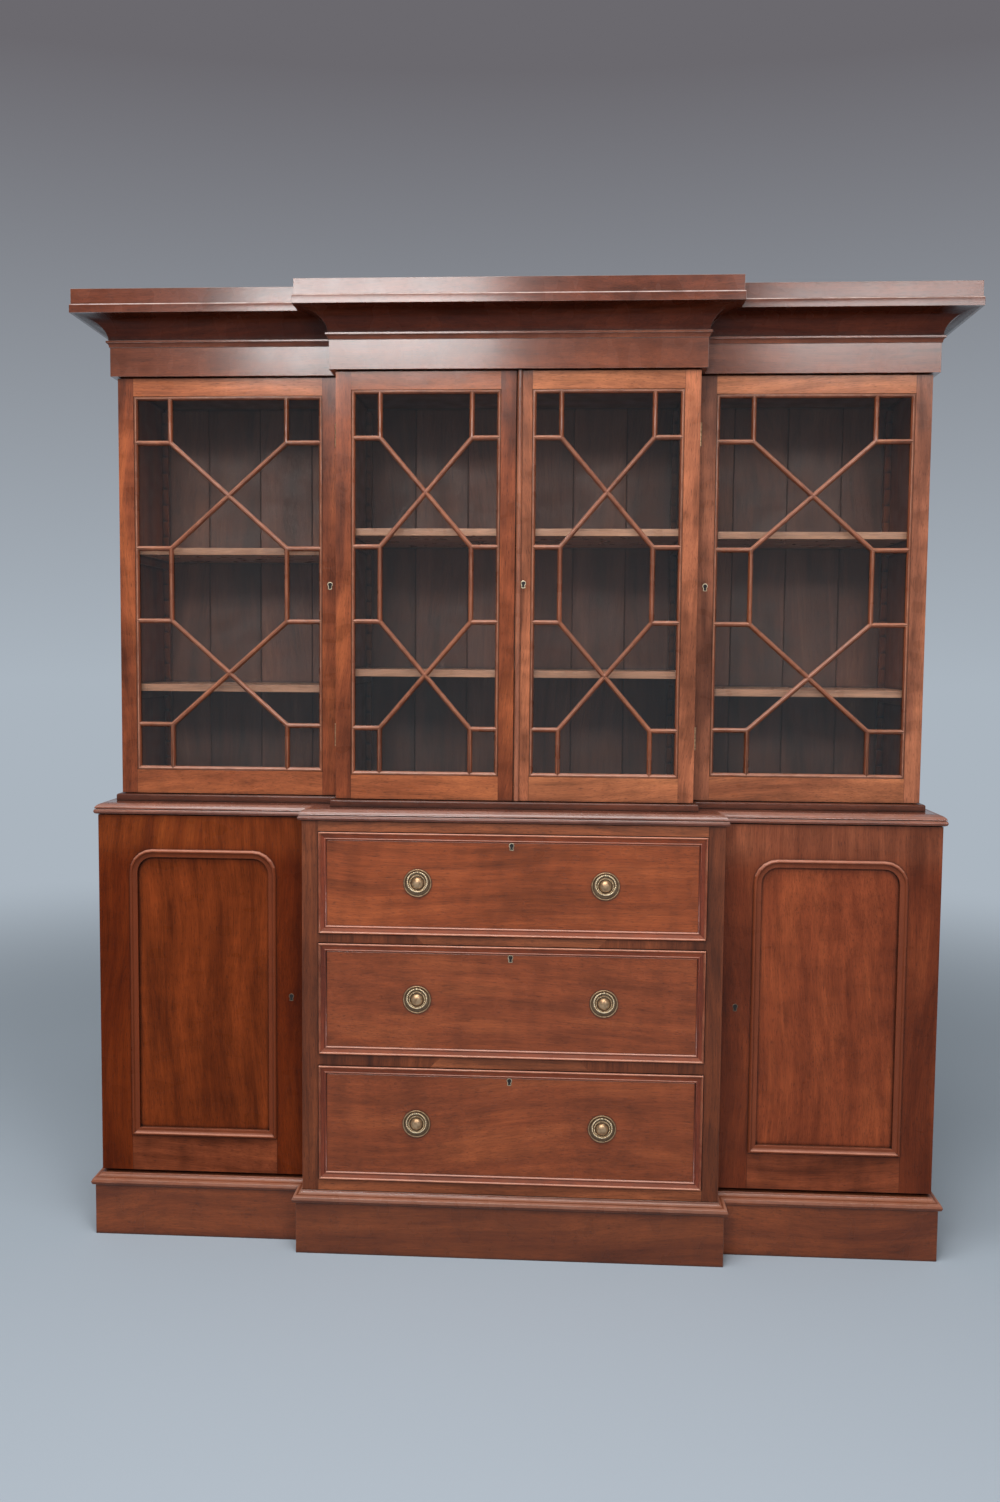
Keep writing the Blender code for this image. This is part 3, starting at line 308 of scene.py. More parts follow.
def buildMitreGroup():
    tree, given = newGroup("breakfrontMitres", "", "outer inner front line")
    place = axes(tree, given["vector"])
    reach = plus(tree, calc(tree, "ABSOLUTE", place["X"]), place["Y"])
    past = {}
    near = 0.0
    for label in ("outer", "inner", "front"):
        past[label] = calc(tree, "GREATER_THAN", reach, given[label])
        onLine = calc(tree, "LESS_THAN", apart(tree, reach, given[label]), given["line"])
        near = calc(tree, "MAXIMUM", onLine, near)
    count = plus(tree, plus(tree, past["outer"], past["inner"]), past["front"])
    side = times(tree, calc(tree, "GREATER_THAN", place["X"], 0.0), rightCount)
    return closeGroup(
        tree,
        returns=calc(tree, "MAXIMUM", past["outer"], minus(tree, past["front"], past["inner"])),
        mitre=near,
        length=plus(tree, count, times(tree, side, past["front"])),
    )


# Patches of the ageing and painted light: size, detail and roughness, and how they thin each mark out
ageingAndPaintedLightSteps = {
    "patches": (26.0, 3.0, 0.6),
    "corners": (0.14, 0.62),
    "dirt": (0.3, 0.6, 0.75, 1.15),
    "wear": (0.36, 0.6, 0.25, 1.0),
    "ledge": (0.3, 0.65, 0.7, 1.0),
}


# Dirt and painted shade in quirks and corners, laid by ambient occlusion; a painted highlight on faces that
# look up; and wear with a painted highlight on the arrises
def buildAgeingAndPaintedLightGroup():
    tree, given = newGroup("ageing", "colour grime worn ledgeColour", "dirt reach wear ledge")
    steps = ageingAndPaintedLightSteps
    patchy = noise(tree, given["vector"], *steps["patches"])
    openness = addNode(tree, "AmbientOcclusion", {"samples": 5}, {"Distance": given["reach"]}).outputs["AO"]
    shut = spread(tree, minus(tree, 1.0, openness), *steps["corners"])
    dirt = times(tree, times(tree, shut, spread(tree, patchy, *steps["dirt"])), given["dirt"], clamp=True)
    rubbed = times(tree, carried(tree, "rounded"), spread(tree, patchy, *steps["wear"]))
    worn = times(tree, rubbed, given["wear"], clamp=True)
    litLedge = times(tree, carried(tree, "ledge"), spread(tree, patchy, *steps["ledge"]))
    litLedge = times(tree, litLedge, given["ledge"])
    colour = given["colour"]
    for mask, label in ((litLedge, "ledgeColour"), (worn, "worn"), (dirt, "grime")):
        colour = mixColour(tree, mask, colour, given[label])
    return closeGroup(tree, colour=colour, dirtMask=dirt)


grainGroup = buildGrainGroup()
joineryGroup = buildJoineryGroup()
mitreGroup = buildMitreGroup()
ageingAndPaintedLightGroup = buildAgeingAndPaintedLightGroup()


# Turns that bring a board's grain onto the grain group's Z
grainTurns = {"x": (0.0, math.radians(90), 0.0), "y": (math.radians(90), 0.0, 0.0), "z": (0.0, 0.0, 0.0)}

# Colour sets of the polished wood: dark, middle and light figure
woodTones = {
    "cornice": ((0.118, 0.0285, 0.0102), (0.166, 0.041, 0.0157), (0.221, 0.06, 0.024)),
    "caseSide": ((0.085, 0.019, 0.007), (0.14, 0.034, 0.012), (0.195, 0.052, 0.018)),
    "upperStile": ((0.096, 0.022, 0.0077), (0.208, 0.049, 0.0169), (0.322, 0.081, 0.0261)),
    "greyStile": ((0.136, 0.043, 0.0215), (0.262, 0.086, 0.043), (0.385, 0.129, 0.061)),
    # The pale and grey stile and rail tones are copies of the wood with a painted sheen, for the right-hand
    # doors
    "paleStile": ((0.19, 0.058, 0.026), (0.345, 0.108, 0.049), (0.5, 0.16, 0.07)),
    "upperRail": ((0.232, 0.062, 0.0231), (0.319, 0.089, 0.0323), (0.418, 0.126, 0.0456)),
    "greyRail": ((0.252, 0.077, 0.0325), (0.338, 0.109, 0.0452), (0.451, 0.151, 0.0613)),
    "bar": ((0.133, 0.034, 0.0128), (0.178, 0.046, 0.0176), (0.227, 0.062, 0.0232)),
    "cupboardStile": ((0.084, 0.0118, 0.002), (0.121, 0.018, 0.0028), (0.163, 0.0262, 0.004)),
    "cupboardRail": ((0.131, 0.03, 0.0108), (0.194, 0.046, 0.0175), (0.268, 0.066, 0.0243)),
    "cupboardPanel": ((0.119, 0.021, 0.0042), (0.167, 0.0305, 0.006), (0.228, 0.042, 0.0086)),
    "rightStile": ((0.102, 0.019, 0.0058), (0.143, 0.028, 0.0089), (0.194, 0.041, 0.0131)),
    "rightPanel": ((0.168, 0.034, 0.0115), (0.224, 0.047, 0.0161), (0.293, 0.065, 0.0218)),
    "faceFrame": ((0.097, 0.024, 0.0081), (0.145, 0.036, 0.0123), (0.194, 0.05, 0.017)),
    "faceRail": ((0.19, 0.052, 0.019), (0.258, 0.073, 0.0275), (0.325, 0.095, 0.0358)),
    "topDrawer": ((0.192, 0.043, 0.0119), (0.257, 0.057, 0.0166), (0.327, 0.077, 0.0228)),
    "lowDrawer": ((0.186, 0.043, 0.0136), (0.24, 0.055, 0.0179), (0.299, 0.074, 0.0238)),
    "drawerEdge": ((0.145, 0.03, 0.011), (0.2, 0.043, 0.016), (0.26, 0.06, 0.022)),
    "plinth": ((0.143, 0.032, 0.0101), (0.199, 0.047, 0.0145), (0.265, 0.066, 0.0202)),
    "waist": ((0.106, 0.026, 0.0119), (0.156, 0.04, 0.0187), (0.212, 0.058, 0.0272)),
    "baseBoard": ((0.06, 0.015, 0.0072), (0.09, 0.024, 0.0108), (0.125, 0.034, 0.0162)),
    "inside": ((0.067, 0.025, 0.0138), (0.103, 0.037, 0.0211), (0.144, 0.055, 0.0312)),
    "shelf": ((0.3, 0.134, 0.077), (0.38, 0.174, 0.101), (0.46, 0.222, 0.134)),
}

# What a piece of wood has unless its own look says otherwise
plainWood = {
    "figure": 16.0,
    "streaks": 0.2,
    "mottle": 0.08,
    "pores": 0.45,
    "seedStep": 2.7,  # between the seeds of neighbouring boards
    "coat": 0.3,
    "coatRough": 0.15,
    "dulledCoat": 0.08,  # left in a cove and on a bare top
    "shine": 0.35,
    "rough": 0.3,
    "roughRange": (-0.05, 0.07),
    "dirtRough": 0.3,
    # The grime colour is laid in quirks and corners by ambient occlusion: dirt and painted shade
    "grime": (0.012, 0.007, 0.006),
    "dirt": 1.0,
    "reach": 0.01,
    # The worn colour on the rounded arrises is wear and a painted highlight
    "wear": 0.55,
    "worn": (0.36, 0.13, 0.07),
    # The ledge colour is a painted highlight on faces that look up
    "ledge": 0.0,
    "ledgeColour": (0.5, 0.24, 0.16),
    "line": 0.0004,
    "lineShare": 0.65,
    "lineColour": (0.01, 0.005, 0.004),
    # The head's tint is painted light: the top of a door made paler and lighter
    "headBand": (0.12, 0.045),  # how far below the head its tint starts and is full
    "bareShare": 0.8,
    "bump": (0.35, 0.0003),
}


def boardGrain(tree, vector, look, shift=None):
    look = {**plainWood, **look}
    turned = addNode(tree, "Mapping", None, {"Vector": vector, "Rotation": grainTurns[look["along"]]})
    tones = dict(zip(("dark", "middle", "light"), woodTones[look["tone"]]))
    seed = look["seed"]
    if shift is not None:
        seed = calc(tree, "MULTIPLY_ADD", shift, look["seedStep"], seed)
    return addGroup(tree, grainGroup, look, vector=turned.outputs[0], **{**tones, "seed": seed})


def newMaterial(name):
    material = bpy.data.materials.new(name)
    material.use_nodes = True
    tree = material.node_tree
    return material, tree, tree.nodes["Principled BSDF"], addNode(tree, "TexCoord").outputs["Object"]


# Boards that run two ways, by the look's "split": "mitres" for a moulding and its returns, "joinery"
# for rails between stiles, "foot" for a bottom rail only, "drawer" for a front in a mitred edge.
# Gives the colour, height, smear, joint lines and field.
def splitBoards(tree, vector, look):
    split = look["split"]
    line = field = None
    if split == "mitres":
        guide = addGroup(tree, mitreGroup, look["mitres"], vector=vector)
        mask, line = guide["returns"], guide["mitre"]
        shifts = guide["length"], guide["length"]
    else:
        guide = addGroup(tree, joineryGroup, {**look, **look["field"]}, vector=vector)
        field = guide["field"]
        shifts = guide["right"], guide["upper"] if split == "joinery" else None
    if split == "joinery":
        mask, line = guide["rail"], guide["joint"]
    elif split == "foot":
        lower = minus(tree, 1.0, guide["upper"])
        mask, line = times(tree, guide["rail"], lower), times(tree, guide["joint"], lower)
    elif split == "drawer":
        mask = calc(tree, "MAXIMUM", guide["mitredRail"], field)
    first = boardGrain(tree, vector, look, shifts[0])
    other = boardGrain(tree, vector, look["second"], shifts[1])
    colour = mixColour(tree, mask, first["colour"], other["colour"])
    return colour, mixValue(tree, mask, first["height"], other["height"]), first["smear"], line, field


# French polished mahogany. "head" paints light on the top of a door, "edgeTint" tints what lies round a
# field,
# "proud" colours what stands furthest forward, and "cove" paints shade on a cornice's cove and darkens its
# fascia.
def polishedWood(name, look):
    look = {**plainWood, **look}
    material, tree, shader, vector = newMaterial(name)
    place = axes(tree, vector)
    varnish = look["coat"]
    line = None
    if "split" in look:
        colour, height, smear, line, field = splitBoards(tree, vector, look)
    else:
        wood = boardGrain(tree, vector, look)
        colour, height, smear = wood["colour"], wood["height"], wood["smear"]
    if "head" in look:
        start, full = (look["head"] - below for below in look["headBand"])
        rise = spread(tree, place["Z"], start, full, smooth=True)
        colour = mixColour(tree, rise, colour, look["headTint"], "MULTIPLY")
    if "edgeTint" in look:
        colour = mixColour(tree, minus(tree, 1.0, field), colour, look["edgeTint"], "MULTIPLY")
    if "proud" in look:
        forward = calc(tree, "LESS_THAN", place["Y"], look["proud"])
        colour = mixColour(tree, times(tree, forward, look["proudShare"]), colour, look["proudColour"])
    if "cove" in look:
        foot, head = look["cove"]
        above = calc(tree, "GREATER_THAN", place["Z"], foot)
        cove = times(tree, above, calc(tree, "LESS_THAN", place["Z"], head))
        fascia = calc(tree, "GREATER_THAN", place["Z"], head)
        bare = calc(tree, "GREATER_THAN", place["Z"], look["bareAbove"])
        colour = mixColour(tree, cove, colour, look["coveTint"], "MULTIPLY")
        colour = mixColour(tree, fascia, colour, look["fasciaTint"], "MULTIPLY")
        colour = mixColour(tree, times(tree, bare, look["bareShare"]), colour, look["bareColour"])
        dull = calc(tree, "MAXIMUM", cove, bare)
        varnish = spread(tree, dull, 0.0, 1.0, varnish, look["dulledCoat"])
    if line is not None:
        colour = mixColour(tree, times(tree, line, look["lineShare"]), colour, look["lineColour"])
    agedWithPaintedLight = addGroup(tree, ageingAndPaintedLightGroup, look, vector=vector, colour=colour)
    smoothest, roughest = (look["rough"] + more for more in look["roughRange"])
    rough = spread(tree, smear, *noiseSpan, smoothest, roughest)
    feed(tree, shader, {
        "Base Color": agedWithPaintedLight["colour"],
        "Roughness": plus(tree, rough, times(tree, agedWithPaintedLight["dirtMask"], look["dirtRough"]), clamp=True),
        "Normal": bumped(tree, height, *look["bump"]),
        "Specular IOR Level": look["shine"],
        "Coat Weight": varnish,
        "Coat Roughness": look["coatRough"],
    })
    return material


# Upright back boards, each of its own shade, rubbed dull
backs = {
    **plainWood,
    "along": "z",
    "seed": 40.0,
    "seedStep": 9.0,
    "tone": "inside",
    "boards": 14,
    "shades": (0.75, 1.25),
    "dirt": 0.9,
    "wear": 0.0,
    "rough": (0.5, 0.66),
    "bump": (0.5, 0.0005),
}


def backBoards(name, halfWidth):
    material, tree, shader, vector = newMaterial(name)
    across = plus(tree, axes(tree, vector)["X"], halfWidth)
    board = calc(tree, "FLOOR", calc(tree, "DIVIDE", across, 2 * halfWidth / backs["boards"]))
    chance = addNode(tree, "TexWhiteNoise", {"noise_dimensions": "1D"}, {"W": board}).outputs["Value"]
    grain = boardGrain(tree, vector, backs, chance)
    toned = scaled(tree, grain["colour"], spread(tree, chance, 0.0, 1.0, *backs["shades"]))
    feed(tree, shader, {
        "Base Color": addGroup(tree, ageingAndPaintedLightGroup, backs, vector=vector, colour=toned)["colour"],
        "Roughness": spread(tree, grain["smear"], *noiseSpan, *backs["rough"]),
        "Normal": bumped(tree, grain["height"], *backs["bump"]),
    })
    return material


# Aged brass: gold where it is rubbed, brown to black in its hollows and the slits of its knuckles, with
# painted shade round a handle plate's outer rim
brassWork = {
    "cloud": 150.0,
    "rubbed": (0.32, 0.6),
    "scratch": 900.0,
    "scratchDrawn": (1.0, 1.0, 0.2),
    "hollowShare": 0.92,
    "slit": 0.035,
    "slitShare": 0.85,
    "cloudRough": 0.12,
    "dullRough": 0.3,
    "dullMetal": (0.2, 0.9, 1.0, 0.35),
    "wear": 0.0,
    "bump": (0.2, 0.0002),
}
brasses = {
    "agedBrass": {
        "brown": (0.48, 0.28, 0.15),
        "gold": (0.76, 0.5, 0.29),
        "grime": (0.03, 0.018, 0.008),
        "dirt": 0.6,
        "reach": 0.0015,
        "rough": 0.3,
    },
    "ringBrass": {
        "brown": (0.72, 0.54, 0.33),
        "gold": (0.92, 0.77, 0.53),
        "grime": (0.06, 0.036, 0.014),
        "dirt": 0.35,
        "reach": 0.0012,
        "rough": 0.4,
    },
    "threadBrass": {
        "brown": (0.5, 0.38, 0.24),
        "gold": (0.78, 0.66, 0.46),
        "grime": (0.04, 0.028, 0.014),
        "dirt": 0.2,
        "reach": 0.001,
        "rough": 0.34,
    },
    "dullBrass": {
        "brown": (0.16, 0.1, 0.07),
        "gold": (0.26, 0.18, 0.12),
        "grime": (0.03, 0.018, 0.01),
        "dirt": 0.4,
        "reach": 0.001,
        "rough": 0.45,
    },
}


def agedBrass(name, look):
    look = {**brassWork, **look}
    material, tree, shader, vector = newMaterial(name)
    cloud = noise(tree, vector, look["cloud"])
    scratch = noise(tree, calcVector(tree, "MULTIPLY", vector, look["scratchDrawn"]), look["scratch"], 1.0)
    tone = mixColour(tree, spread(tree, cloud, *look["rubbed"]), look["brown"], look["gold"])
    hollow = carried(tree, "hollow")
    tone = mixColour(tree, times(tree, hollow, look["hollowShare"]), tone, look["grime"])
    fromSlit = apart(tree, calc(tree, "FRACT", carried(tree, "knuckles")), 0.5)
    slit = times(tree, calc(tree, "LESS_THAN", fromSlit, look["slit"]), look["slitShare"])
    tone = mixColour(tree, slit, tone, look["grime"])
    agedWithPaintedLight = addGroup(tree, ageingAndPaintedLightGroup, look, vector=vector, colour=tone)
    dull = calc(tree, "MAXIMUM", agedWithPaintedLight["dirtMask"], hollow)
    rough = spread(tree, cloud, *noiseSpan, look["rough"], look["rough"] + look["cloudRough"])
    feed(tree, shader, {
        "Base Color": agedWithPaintedLight["colour"],
        "Roughness": calc(tree, "MULTIPLY_ADD", dull, look["dullRough"], rough),
        "Metallic": spread(tree, dull, *look["dullMetal"]),
        "Normal": bumped(tree, scratch, *look["bump"]),
    })
    return material


# Old window glass, slightly wavy, which lets the lamps and the soft light through to the shelves
windowPane = {
    "clean": (0.95, 0.97, 0.96),
    "dusty": (0.88, 0.89, 0.87),
    "dust": (0.45, 0.8),
    "dustNoise": (9.0, 3.0, 0.6),
    "refraction": 1.36,
    "waveSize": 4.0,
    "wave": (0.08, 0.001),
    "through": (0.92, 0.94, 0.93),
}


def windowGlass(name, look):
    material, tree, shader, vector = newMaterial(name)
    film = spread(tree, noise(tree, vector, *look["dustNoise"]), *look["dust"])
    feed(tree, shader, {
        "Base Color": mixColour(tree, film, look["clean"], look["dusty"]),
        "Transmission Weight": 1.0,
        "IOR": look["refraction"],
        "Roughness": 0.0,
        "Normal": bumped(tree, noise(tree, vector, look["waveSize"], 1.0), *look["wave"]),
    })
    clear = addNode(tree, "BsdfTransparent", None, {"Color": look["through"]})
    path = addNode(tree, "LightPath").outputs
    straight = calc(tree, "MAXIMUM", path["Is Shadow Ray"], path["Is Diffuse Ray"])
    showMixed(tree, straight, shader, clear, tree.nodes["Material Output"])
    return material


# Painted shade for a keyhole: a nearly black, faintly rusty sheet just behind the hole, standing for the iron
# lock in the dark inside
holeShadeLook = {
    "rustSize": 900.0,
    "rusty": (0.4, 0.7),
    "black": (0.006, 0.005, 0.005),
    "rust": (0.02, 0.012, 0.008),
    "rough": (0.6, 0.8),
}


def lockIron(name, look):
    material, tree, shader, vector = newMaterial(name)
    rust = noise(tree, vector, look["rustSize"])
    feed(tree, shader, {
        "Base Color": mixColour(tree, spread(tree, rust, *look["rusty"]), look["black"], look["rust"]),
        "Roughness": spread(tree, rust, *noiseSpan, *look["rough"]),
    })
    return material


brass, ringBrass, threadBrass, dullBrass = (agedBrass(name, look) for name, look in brasses.items())
glass = windowGlass("windowGlass", windowPane)
holeShade = lockIron("lockIron", holeShadeLook)
print("wood, brass and glass ready")


def addObject(name, data):
    thing = bpy.data.objects.new(name, data)
    bpy.context.scene.collection.objects.link(thing)
    return thing


def meshOf(name, shape):
    mesh = bpy.data.meshes.new(name)
    shape.to_mesh(mesh)
    shape.free()
    return mesh


def makeCamera(look):
    data = bpy.data.cameras.new("photoCamera")
    camera = addObject("photoCamera", data)
    longSide = max(look["imageWidth"], look["imageHeight"])
    data.sensor_fit = "AUTO"
    data.sensor_width = look["sensorWidth"]
    data.lens = look["focalPixels"] * look["sensorWidth"] / longSide
    data.shift_x = (look["imageWidth"] / 2 - look["middleX"]) / longSide
    data.shift_y = (look["middleY"] - look["imageHeight"] / 2) / longSide
    data.clip_start = look["nearest"]
    data.clip_end = look["furthest"]
    turn = Matrix.Rotation(math.radians(look["turnedLeft"]), 4, "Z")
    tilt = Matrix.Rotation(math.radians(90 + look["tilt"]), 4, "X")
    roll = Matrix.Rotation(math.radians(look["roll"]), 4, "Z")
    camera.matrix_world = Matrix.Translation(look["place"]) @ turn @ tilt @ roll
    bpy.context.scene.camera = camera


# Rays that look at the studio, straight, in a polished face or through glass
def lookingRays(tree):
    path = addNode(tree, "LightPath").outputs
    looking = calc(tree, "MAXIMUM", path["Is Camera Ray"], path["Is Glossy Ray"])
    return calc(tree, "MAXIMUM", looking, path["Is Transmission Ray"])


# World: one plain light for the object, and the photograph's soft grey backdrop to look at
def makeWorld(look):
    world = bpy.data.worlds.new("studio")
    bpy.context.scene.world = world
    world.use_nodes = True
    tree = world.node_tree
    tree.nodes.clear()
    height = axes(tree, addNode(tree, "TexCoord").outputs["Generated"])["Z"]
    rise = spread(tree, height, look["upperStart"], look["upperEnd"])
    backdrop = mixColour(tree, rise, look["floorColour"], look["upperColour"])
    seen = addNode(tree, "Background", None, {"Color": backdrop, "Strength": 1.0})
    lit = addNode(tree, "Background", None, {"Color": look["skyColour"], "Strength": look["skyStrength"]})
    showMixed(tree, lookingRays(tree), lit, seen, addNode(tree, "OutputWorld"))


# Floor: a wide pale disc that turns into the backdrop's own colour with distance
def makeFloor(look):
    shape = bmesh.new()
    bmesh.ops.create_circle(shape, cap_ends=True, segments=look["floorSides"], radius=look["floorRadius"])
    floor = addObject("studioFloor", meshOf("studioFloor", shape))
    material, tree, shader, vector = newMaterial("studioFloor")
    away = addNode(tree, "VectorMath", {"operation": "LENGTH"}, {0: vector}).outputs["Value"]
    fade = spread(tree, away, look["fadeStart"], look["fadeEnd"], smooth=True)
    albedo = mixColour(tree, lookingRays(tree), look["bounceAlbedo"], look["floorAlbedo"])
    feed(tree, shader, {"Base Color": albedo, "Roughness": look["floorRough"], "Specular IOR Level": 0.0})
    glow = addNode(tree, "Emission", None, {"Color": look["floorColour"], "Strength": 1.0})
    showMixed(tree, fade, shader, glow, tree.nodes["Material Output"])
    floor.data.materials.append(material)


def makeLights(looks):
    for name, look in looks.items():
        data = bpy.data.lights.new(name, "AREA")
        data.shape = "RECTANGLE"
        data.size, data.size_y = look["size"]
        data.energy = look["radiance"] * math.pi * data.size * data.size_y
        light = addObject(name, data)
        light.location = look["place"]
        aim = Vector(look["aim"]) - Vector(look["place"])
        light.rotation_euler = aim.to_track_quat("-Z", "Y").to_euler()
        light.visible_camera = False
        light.visible_glossy = look.get("mirrored", True)
        light.visible_transmission = light.visible_glossy


makeCamera(photoCamera)
makeWorld(studio)
makeFloor(studio)
makeLights(softLights)
bpy.context.scene.view_settings.view_transform = "Standard"
print("camera, floor and lights ready")


# Dressed copies: a node's own shape, merged, with its arrises rounded and polished
arrises = {
    "round": 0.0007,
    "sharperThan": 40.0,
    "flatterThan": 5.0,
    "segments": 2,
    "smallestRun": 0.0015,
    "mergeReach": 0.00002,
    "softReach": 0.0004,
}
ledgeHighlights = {"start": 0.15, "span": 0.5, "flat": 0.97, "flatShare": 0.12}

jointOf = {joint["child"]: joint for joint in frame["joints"]}


def bodyOf(node):
    return frame["nodes"][node]["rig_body"]


def foldOf(edge):
    return edge.calc_face_angle() if len(edge.link_faces) == 2 else 0.0


def sharpEdges(shape, look):
    chosen = []
    for edge in shape.edges:
        if foldOf(edge) < math.radians(look["sharperThan"]):
            continue
        around = [other for vert in edge.verts for other in vert.link_edges]
        real = [other for other in around if foldOf(other) > math.radians(look["flatterThan"])]
        if min(other.calc_length() for other in real) > look["smallestRun"]:
            chosen.append(edge)
    return chosen


def roundEdges(shape, edges, size, segments, rounded):
    result = bmesh.ops.bevel(
        shape,
        geom=edges,
        offset=size,
        offset_type="OFFSET",
        segments=segments,
        profile=0.5,
        affect="EDGES",
        clamp_overlap=True,
        loop_slide=False,
        material=-1,
    )
    newFaces = set(result["faces"])
    for vert in shape.verts:
        if vert.link_faces and all(face in newFaces for face in vert.link_faces):
            vert[rounded] = 1.0


# How far each face looks up, which is where a painted highlight lies, as light from above would fall on it; a
# flat top has little of it
def markLedgeHighlights(shape):
    shape.normal_update()
    ledge = shape.loops.layers.float.new("ledge")
    for face in shape.faces:
        up = face.normal.z
        share = min(1.0, max(0.0, (up - ledgeHighlights["start"]) / ledgeHighlights["span"]))
        for corner in face.loops:
            corner[ledge] = share if up < ledgeHighlights["flat"] else ledgeHighlights["flatShare"]


def dressedShape(node, look, change=None):
    shape = bmesh.new()
    shape.from_mesh(frame["nodes"][node].data)
    bmesh.ops.remove_doubles(shape, verts=shape.verts, dist=look["mergeReach"])
    if change is not None:
        change(shape)
    rounded = shape.verts.layers.float.new("rounded")
    if "softLevel" in look:
        near = []
        for edge in sharpEdges(shape, look):
            away = max(abs(vert.co.z - look["softLevel"]) for vert in edge.verts)
            if away < look["softReach"] and edge.is_convex:
                near.append(edge)
        roundEdges(shape, near, look["softRound"], look["segments"], rounded)
    roundEdges(shape, sharpEdges(shape, look), look["round"], look["segments"], rounded)
    markLedgeHighlights(shape)
    return shape


def finishPiece(shape, name, materials, body, replaced=()):
    piece = addObject(name, meshOf(name, shape))
    for material in materials:
        piece.data.materials.append(material)
    piece.data.shade_smooth()
    weighted = piece.modifiers.new("flatFaces", "WEIGHTED_NORMAL")
    weighted.mode = "FACE_AREA_WITH_ANGLE"
    weighted.keep_sharp = False
    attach(piece, body)
    if replaced:
        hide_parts(*replaced)


def finishNode(shape, node, materials):
    finishPiece(shape, "finished_" + node, materials, bodyOf(node), [node])


def dress(node, material, look=None):
    finishNode(dressedShape(node, {**arrises, **(look or {})}), node, [material])


def coat(node, material):
    mesh = frame["nodes"][node].data
    mesh.materials.clear()
    mesh.materials.append(material)


# Case mouldings, mitred round the breakfront and returned along the sides
upperMitres = {"outer": 0.8217, "inner": 0.3137, "front": 0.2477, "line": 0.0005}
lowerMitres = {"outer": 0.7947, "inner": 0.3147, "front": 0.2487, "line": 0.0005}
mouldings = {
    "cornice": {
        "seed": 3.0,
        "tone": "cornice",
        "mottle": 0.1,
        "coat": 0.65,
        "shine": 0.15,
        "rough": 0.25,
        "wear": 1.0,
        "worn": (0.62, 0.46, 0.4),
        "ledge": 0.5,
        "ledgeColour": (0.56, 0.4, 0.34),
        "mitres": upperMitres,
        # The cove's tint is painted shade, and the fascia's tint makes the fascia darker
        "cove": (2.0405, 2.0879),
        "coveTint": (0.45, 0.34, 0.34),
        "fasciaTint": (0.69, 0.65, 0.66),
        "bareAbove": 2.1396,
        "bareColour": (0.06, 0.04, 0.03),
        "arris": {"round": 0.001, "softLevel": 2.107, "softRound": 0.0026},
    },
    "upper_base_board": {
        "seed": 15.0,
        "tone": "baseBoard",
        "coat": 0.25,
        "shine": 0.2,
        "wear": 0.6,
        "worn": (0.36, 0.2, 0.15),
        "mitres": upperMitres,
    },
    "waist_board": {
        "seed": 12.0,
        "tone": "waist",
        "coat": 0.9,
        "shine": 0.15,
        "rough": 0.24,
        "dirt": 0.6,
        "wear": 0.55,
        "worn": (0.5, 0.3, 0.24),
        "ledge": 0.3,
        "ledgeColour": (0.56, 0.36, 0.3),
        "mitres": lowerMitres,
    },
    "plinth": {
        "slot": "dark_mahogany",
        "seed": 8.0,
        "tone": "plinth",
        "coat": 0.25,
        "wear": 0.8,
        "worn": (0.46, 0.24, 0.17),
        "ledge": 0.5,
        "proud": -0.2,
        "proudShare": 0.3,
        "proudColour": (0.06, 0.016, 0.006),
        "mitres": lowerMitres,
    },
}


def makeMouldings():
    for node, look in mouldings.items():
        lengths = {**look, "along": "x", "second": {**look, "along": "y"}, "split": "mitres"}
        dress(node, polishedWood(node + "Wood", lengths), look.get("arris"))


# Carcass: sides, partitions, boards and backs, as the way of the grain, tone and nodes
carcass = (
    ("z", "caseSide", "upper_left_side upper_right_side lower_left_side lower_right_side"),
    ("z", "inside", "upper_left_partition upper_right_partition"),
    ("z", "inside", "lower_left_partition lower_right_partition"),
    ("x", "inside", "lower_bottom_board upper_top_board left_cupboard_shelf right_cupboard_shelf"),
)
carcassLook = {"seed": 21.0, "coat": 0.15, "rough": 0.36}
bookshelf = {"along": "x", "seed": 50.0, "tone": "shelf", "coat": 0.1, "pores": 0.12}


def makeCarcass():
    seed = carcassLook["seed"]
    for along, tone, nodes in carcass:
        for node in nodes.split():
            look = {**carcassLook, "along": along, "seed": seed, "tone": tone}
            seed += 1
            if tone == "caseSide":
                dress(node, polishedWood(node + "Wood", look))
            else:
                coat(node, polishedWood(node + "Wood", look))
    for node in ("upper_back", "lower_back"):
        coat(node, backBoards(node + "Wood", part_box(node)[1].x))


def makeBookshelves():
    for index, bay in enumerate(("left", "centre", "right")):
        for step, place in ((0, "lower"), (5, "upper")):  # each shelf from a seed of its own
            node = f"{bay}_{place}_bookshelf"
            look = {**bookshelf, "seed": bookshelf["seed"] + index + step}
            dress(node, polishedWood(node + "Wood", look))


# Framed fronts
def fieldOf(left, right, low, high):
    return {
        "middleX": (left + right) / 2,
        "middleZ": (low + high) / 2,
        "halfWidth": (right - left) / 2,
        "halfHeight": (high - low) / 2,
    }


def insetField(node, border):
    low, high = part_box(node)
    return fieldOf(low.x + border, high.x - border, low.z + border, high.z - border)


faceFrame = {
    "along": "z",
    "seed": 61.0,
    "tone": "faceFrame",
    "streaks": 0.36,
    "coat": 0.08,
    "rough": 0.4,
    "shine": 0.3,
    "dirt": 0.7,
    "split": "joinery",
    "second": {"along": "x", "seed": 61.5, "tone": "faceRail", "streaks": 0.32},
}
faceStile = 0.0358


def makeFaceFrame():
    look = {**faceFrame, "field": insetField("drawer_face_frame", faceStile)}
    dress("drawer_face_frame", polishedWood("faceFrameWood", look))


